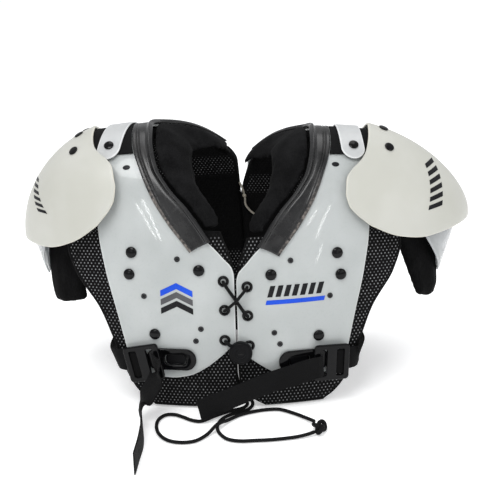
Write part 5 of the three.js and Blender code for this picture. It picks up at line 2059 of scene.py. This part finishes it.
@dataclass(frozen=True)
class LooseLace:
    """The two loose ends of the front lace on the floor, and the knot that joins them."""

    diameter: float = 3.8
    long: tuple[Triple, ...] = (
        (0, -116.2, 67.3), (0, -105, 67.3), (0, -92.5, 66.8), (-2.5, -87, 58), (-3, -89, 38), (0, -93, 19),
        (3, -94, 7), (7.5, -98.5, 2.2), (8.5, -107, 2.1), (4, -115, 2.1), (-10, -121.5, 2.1),
        (-26, -132, 2.1), (-41, -143, 2.1), (-51, -139.5, 2.1), (-60, -132, 2.1), (-69, -126, 2.1),
        (-78, -126, 2.1), (-85, -135, 2.1), (-87, -151, 2.1), (-83, -169, 2.1), (-73, -183, 2.1),
        (-60, -188, 2.1), (-46, -186, 2.1), (-34, -174.5, 2.6), (-23, -160, 6.6), (-12, -144, 3),
        (1, -131, 2.1), (16, -124, 2.1), (31, -120.5, 2.1), (43, -121, 2.1), (58, -131, 2.1),
        (68, -141, 2.6), (79, -156.5, 5),
    )
    short: tuple[Triple, ...] = (
        (0, -116.2, 62.4), (0, -105, 62.4), (0.25, -93.2, 61.2), (4.6, -90.8, 52), (5, -91.5, 38),
        (6, -93.5, 20), (9.5, -94, 7), (13.5, -98.5, 2.2), (14.5, -107, 2.1), (9, -119.5, 2.1),
        (-6, -127.5, 2.1), (-17, -137.5, 2.1), (-22, -149, 2.1), (-23, -160, 2.1), (-20, -172, 2.1),
        (-12, -184, 2.1), (0, -188.6, 2.1), (16, -188.5, 2.1), (31, -188, 2.1), (46.5, -186, 2.1),
        (60, -183.5, 2.4), (71, -180.5, 3.4), (78.6, -177.5, 4.6),
    )
    knot: Triple = (83.0, -169.5, 0.2)
    knot_wire: float = 2.25
    knot_steps: int = 120

    def build(self, bench: Bench) -> None:
        """Args:
            bench: where they are finished.
        """
        knot = bench.finish("lace_end_knot", self.tied(), Look.LACE, "lace", ["lace_knot"], 80)
        for name, node, route in (("lace_run_long", "lace_tail_long", self.long),
                                  ("lace_run_short", "lace_tail_short", self.short)):
            path = catmull([Vector(point) for point in route], 1.6)
            piece = bench.finish(name, tube(path, self.diameter / 2, 14), Look.LACE, "lace", [node], 80)
            line = [tuple(bench.metres(point)) for point in path]
            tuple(line[0])
            path_length(path) * 0.001

    def tied(self) -> Mesh:
        """Ties the knot, a trefoil of lace drawn tight.

        Returns:
            The mesh.
        """
        path = []
        for k in range(self.knot_steps + 1):
            t = 2 * math.pi * k / self.knot_steps
            path.append(Vector((
                self.knot[0] + 2.15 * (math.sin(t) + 2 * math.sin(2 * t)),
                self.knot[1] + 3.45 * (math.cos(t) - 2 * math.cos(2 * t)),
                self.knot[2] + 5.2 - 2.7 * math.sin(3 * t),
            )))
        return tube(path, self.knot_wire, 14, loop=True)


@dataclass(frozen=True)
class FrontLacing:
    """The crossed lace on the chest, the short lace to the lock, and the lock."""

    lace: float = 3.8
    under: tuple[Pair, ...] = ((0.12, 2.4), (0.3, 2.6), (0.5, 2.4), (0.7, 2.6), (0.88, 2.4))
    over: tuple[Pair, ...] = ((0.12, 2.4), (0.32, 5), (0.5, 6.9), (0.68, 5), (0.88, 2.4))
    lock: Triple = (3.5, -116.5, 69.5)

    def build(self, bench: Bench, hardware: Hardware) -> None:
        """Makes the laces and the lock.

        Args:
            bench: where they are finished.
            hardware: gives the eyelets' places.
        """
        rings = {(half.name, name): hardware.chest(half, out, rise, 0.0)
                 for half in HALVES for name, out, rise in hardware.eyelets}
        strands = (
            ("front_lace_low", ("left", "top"), ("right", "middle"), self.under, "front_lace_under"),
            ("front_lace_high", ("left", "middle"), ("right", "top"), self.over, "front_lace_over"),
        )
        for name, start, finish, lifts, node in strands:
            (a, na), (b, nb) = rings[start], rings[finish]
            first, last = a + na * 3.5, b + nb * 3.5
            points = [a + na * 1.2, first]
            for share, lift in lifts:
                point = first.lerp(last, share)
                points.append(point - Vector((0, lift, 0)))
            points += [last, b + nb * 1.2]
            path = catmull(points, 1.3)
            bench.finish(name, tube(path, self.lace / 2, 14, 0.86), Look.LACE, "lace", [node], 80)
        at, normal = rings[("left", "lower")]
        points = [at + normal * 1.0, at + normal * 4.0 + Vector((1.5, 0, -1)),
                  at + normal * 5.0 + Vector((5, -1.0, -3.5)), Vector((-3.5, -119.8, 75.0))]
        bench.finish("lock_lace", tube(catmull(points, 1.2), self.lace / 2, 14), Look.LACE, "lace", (), 80)
        self.make_lock(bench)

    def make_lock(self, bench: Bench) -> None:
        """Makes the round lock with its dished face, and a darker slab on its button as painted shade for
        the slot.

        Args:
            bench: where it is finished.
        """
        profile = [
            (0, 0), (11.2, 0), (12.1, 0.8), (12.5, 2.0), (12.5, 6.0), (12.2, 7.2), (11.3, 8.0),
            (10.2, 7.9), (9.6, 7.3), (6.2, 7.0), (5.4, 7.0), (5.0, 7.5), (0, 7.6),
        ]
        frame = Matrix.Translation(self.lock) @ Matrix.Rotation(math.pi / 2, 4, "X")
        bench.finish("lock_body", moved(spun(profile, 48), frame), Look.LOCK, "lock", ["cord_lock"], 40)
        # Painted shade: a darker slab on the button stands for the shaded slot.
        slot = slab(rounded_outline(5.2, 2.2, 0.9), [], 0.5, 0.15)
        slot = moved(slot, frame @ Matrix.Translation((0, 0, 7.5)))
        bench.finish("lock_slot_shade", slot, Look.HARDWARE, "lock", (), 40)


@dataclass(frozen=True)
class BackLacing:
    """The pale lace at the back, with its bead."""

    route: tuple[Triple, ...] = (
        (6.5, 74.2, 198), (10, 73.2, 190), (12.4, 73.7, 179), (13, 74.7, 170), (18, 76.2, 162),
        (23, 77.7, 157),
    )
    bead: Triple = (11.9, 73.6, 181.5)
    diameter: float = 2.4

    def build(self, bench: Bench) -> None:
        """Makes the lace and the bead on it.

        Args:
            bench: where they are finished.
        """
        path = catmull([Vector(point) for point in self.route], 1.0)
        cord = tube(path, self.diameter / 2, 12)
        bench.finish("back_cord", cord, Look.CORD, "back_cord", ["back_lace"], 80)
        bead = spun([(0.9, -1.6), (1.9, -1.3), (2.3, 0), (1.9, 1.3), (0.9, 1.6)], 20)
        bead = moved(bead, Matrix.Translation(self.bead))
        bench.finish("back_bead", bead, Look.CORD, "back_cord", (), 80)


# Plain printed designs


@dataclass(frozen=True)
class Prints:
    """Plain bars on the plates and the caps.

    A cap's row of bars runs between two places, each an azimuth and a share of the height.
    """

    lift: float = 0.16
    half_wall: float = 0.1
    cap_rows: dict[str, tuple[Pair, Pair]] = by_side(
        ((-24.0, 0.26), (1.0, 0.46)), ((-22.0, 0.19), (-4.0, 0.51)),
    )
    cap_bars: int = 6
    chevron: Pair = (62.0, 17.0)
    bar_start: float = 33.0
    bar_pitch: float = 8.6
    bar_count: int = 7

    def bar(self, surface: Surface, corners: Pairs) -> Mesh:
        """Makes a thin patch between four corners.

        Args:
            surface: what it lies on.
            corners: its corners in the surface's own measures, in order.

        Returns:
            The mesh.
        """
        (ax, ay), (bx, by), (cx, cy), (dx, dy) = corners

        def at(u: float, v: float, lift: float) -> Vector:
            """A point of the patch, by shares across and along and a lift."""
            low, high = (mix(ax, bx, u), mix(ay, by, u)), (mix(dx, cx, u), mix(dy, cy, u))
            return surface(mix(low[0], high[0], v), mix(low[1], high[1], v), lift)

        return Shell(at, lambda u, v: self.half_wall, lambda u, v: self.lift, 10, 10, 0.2).build()

    def chest_surface(self, half: Half) -> Surface:
        """The chest by distance from the mid-plane and height."""
        return lambda out, height, lift: VAULT.place(half, out, VAULT.chest_turn(half, out, height), lift)[0]

    def cap_surface(self, half: Half) -> Surface:
        """The cap by azimuth and share of its height."""
        return lambda azimuth, up, lift: CAPS.point(half, azimuth, up, -lift)

    def build(self, bench: Bench) -> None:
        """Makes the prints of both halves.

        Args:
            bench: where they are finished.
        """
        for half in HALVES:
            parts = []
            start, end = self.cap_rows[half.name]
            step = ((end[0] - start[0]) / self.cap_bars, (end[1] - start[1]) / self.cap_bars)
            for k in range(self.cap_bars):
                low = (start[0] + k * step[0], start[1] + k * step[1])
                high = (low[0] + 0.56 * step[0], low[1] + 0.56 * step[1])
                slant = (step[0] * 0.3 - 10.0, step[1] * 0.3)
                parts.append(self.bar(self.cap_surface(half), [
                    low, (low[0] + slant[0], low[1] + slant[1]),
                    (high[0] + slant[0], high[1] + slant[1]), high,
                ]))
            bench.side(half, "cap_bars", joined(parts), Look.INK, "epaulet")
        chest = self.chest_surface(LEFT)
        rows = ((128.0, Look.BLUE), (118.5, Look.GREY_INK), (109.0, Look.INK))
        for i, (high, look) in enumerate(rows):
            parts = []
            centre, reach = self.chevron
            for side in (centre - reach, centre + reach):
                parts.append(self.bar(chest, [
                    (centre, high + 9.0), (side, high + 0.5), (side, high + 7.0), (centre, high + 15.5),
                ]))
            bench.finish(f"left_print_{i + 1}", joined(parts), look, "plate")
        chest = self.chest_surface(RIGHT)
        parts = []
        for k in range(self.bar_count):
            left = self.bar_start + k * self.bar_pitch
            parts.append(self.bar(chest, [
                (left, 126.0), (left + 5.4, 126.0), (left + 9.0, 138.0), (left + 3.6, 138.0),
            ]))
        bench.finish("right_print_bars", joined(parts), Look.INK, "plate")
        stripe = self.bar(chest, [(31.0, 118.0), (93.0, 118.0), (94.4, 122.8), (32.4, 122.8)])
        bench.finish("right_print_stripe", stripe, Look.BLUE, "plate")


# The studio


@dataclass(frozen=True)
class Studio:
    """The floor, the lights and the camera."""

    target: Triple = (16.5, -40.0, 155.0)
    distance: float = 1400.0
    elevation: float = 20.0
    roll: float = 1.7
    focal: float = 1286.0
    picture: float = 500.0
    sensor: float = 36.0
    sky: float = 0.65
    streak_power: float = 66.0
    streak_aim: Triple = (0.0, -0.08, 0.17)

    def place_camera(self, bench: Bench) -> None:
        """Puts the camera where the picture was taken from.

        Args:
            bench: knows where the design frame lies.
        """
        tilt, roll = math.radians(self.elevation), math.radians(self.roll)
        up = Vector((0, math.sin(tilt), math.cos(tilt)))
        ahead = Vector((0, math.cos(tilt), -math.sin(tilt)))
        right = Vector((math.cos(roll), 0, 0)) - up * math.sin(roll)
        top = Vector((math.sin(roll), 0, 0)) + up * math.cos(roll)
        data = bpy.data.cameras.new("camera")
        data.sensor_width = self.sensor
        data.lens = self.focal / self.picture * self.sensor
        data.clip_start = 0.05
        camera = bpy.data.objects.new("camera", data)
        at = bench.metres(Vector(self.target) - ahead * self.distance)
        camera.matrix_world = Matrix.Translation(at) @ Matrix((right, top, -ahead)).transposed().to_4x4()
        bpy.context.scene.collection.objects.link(camera)
        bpy.context.scene.camera = camera

    def area(self, name: str, size: Pair, watts: float, frame: Matrix) -> bpy.types.AreaLight:
        """Adds a rectangular light.

        Args:
            name: its name.
            size: its width and height in metres.
            watts: its power.
            frame: its place and turn.

        Returns:
            The light's settings.
        """
        data = bpy.data.lights.new(name, "AREA")
        data.shape = "RECTANGLE"
        data.size, data.size_y = size
        data.energy = watts
        lamp = bpy.data.objects.new(name, data)
        lamp.matrix_world = frame
        bpy.context.scene.collection.objects.link(lamp)
        return data

    def light(
        self, name: str, at: Triple, aim: Triple, size: Pair, watts: float, shine: float = 0.2,
    ) -> None:
        """Adds a soft light.

        Args:
            name: its name.
            at: its place in metres.
            aim: the point it faces.
            size: its width and height in metres.
            watts: its power.
            shine: how strongly it shows in glossy pieces.
        """
        turn = (Vector(at) - Vector(aim)).to_track_quat("Z", "Y").to_matrix().to_4x4()
        self.area(name, size, watts, Matrix.Translation(at) @ turn).specular_factor = shine

    def streak(self, name: str, top: Vector, low: Vector, width: float) -> None:
        """Adds a long narrow light between two points.

        Args:
            name: its name.
            top: its upper end, in metres.
            low: its lower end.
            width: its width.
        """
        along = top - low
        middle = (top + low) / 2
        up = along.normalized()
        away = middle - Vector(self.streak_aim)
        away = (away - up * away.dot(up)).normalized()
        turn = Matrix((up.cross(away), up, away)).transposed().to_4x4()
        watts = self.streak_power * width * along.length
        self.area(name, (width, along.length), watts, Matrix.Translation(middle) @ turn)

    def build(self, bench: Bench) -> None:
        """Makes the floor and the lights.

        Args:
            bench: gives the floor its material.
        """
        bm = bmesh.new()
        bmesh.ops.create_grid(bm, x_segments=1, y_segments=1, size=20.0)
        mesh = bpy.data.meshes.new("floor")
        bm.to_mesh(mesh)
        bm.free()
        mesh.materials.append(bench.material(Look.FLOOR))
        floor = bpy.data.objects.new("floor", mesh)
        floor.location = (0, 0, -0.0005)
        bpy.context.scene.collection.objects.link(floor)
        floor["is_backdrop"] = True
        world = bpy.data.worlds.new("studio")
        world.use_nodes = True
        back = world.node_tree.nodes["Background"]
        back.inputs["Color"].default_value = (0.97, 0.98, 1.0, 1.0)
        back.inputs["Strength"].default_value = self.sky
        bpy.context.scene.world = world
        bpy.context.scene.view_settings.view_transform = "Standard"
        self.light("key", (-0.5, -1.1, 2.1), (0, 0, 0.12), (1.2, 0.9), 27.0, 0.5)
        self.light("fill", (1.6, -1.0, 1.3), (0, 0, 0.12), (1.2, 1.2), 6.0)
        self.light("top", (0.1, 0.7, 2.2), (0, 0, 0.1), (1.6, 1.2), 13.0)
        for name, top, low, width in (
            ("streak_1", (-0.66, -0.93, 0.76), (-0.59, -1.09, 0.41), 0.012),
            ("streak_2", (-0.61, -0.91, 0.83), (-0.56, -1.1, 0.41), 0.016),
            ("streak_3", (0.54, -0.98, 0.75), (0.5, -1.07, 0.58), 0.01),
            ("streak_4", (0.61, -0.95, 0.74), (0.56, -1.09, 0.41), 0.012),
            ("streak_5", (0.61, -1.08, 0.34), (0.58, -1.11, 0.19), 0.01),
        ):
            self.streak(name, Vector(top), Vector(low), width)


def main() -> None:
    """Builds the shoulder pad piece by piece and hands it to the frame."""
    logging.basicConfig(level=logging.INFO, format="%(name)s: %(message)s")
    bench = Bench()
    Studio().place_camera(bench)
    LooseLace().build(bench)
    hardware = Hardware()
    for half in HALVES:
        ArchPlates().build(bench, half)
        BodyLiners().build(bench, half)
        NeckTrims().build(bench, half)
        NeckPads().build(bench, half)
        ShoulderWebs().build(bench, half)
        CAPS.build(bench, half)
        Cups().build(bench, half)
        ArmPads().build(bench, half)
        hardware.build(bench, half)
        Straps().build(bench, half)
    FrontLacing().build(bench, hardware)
    BackLacing().build(bench)
    Prints().build(bench)
    Studio().build(bench)
    bench.write_sizes()


if __name__ == "__main__":
    main()
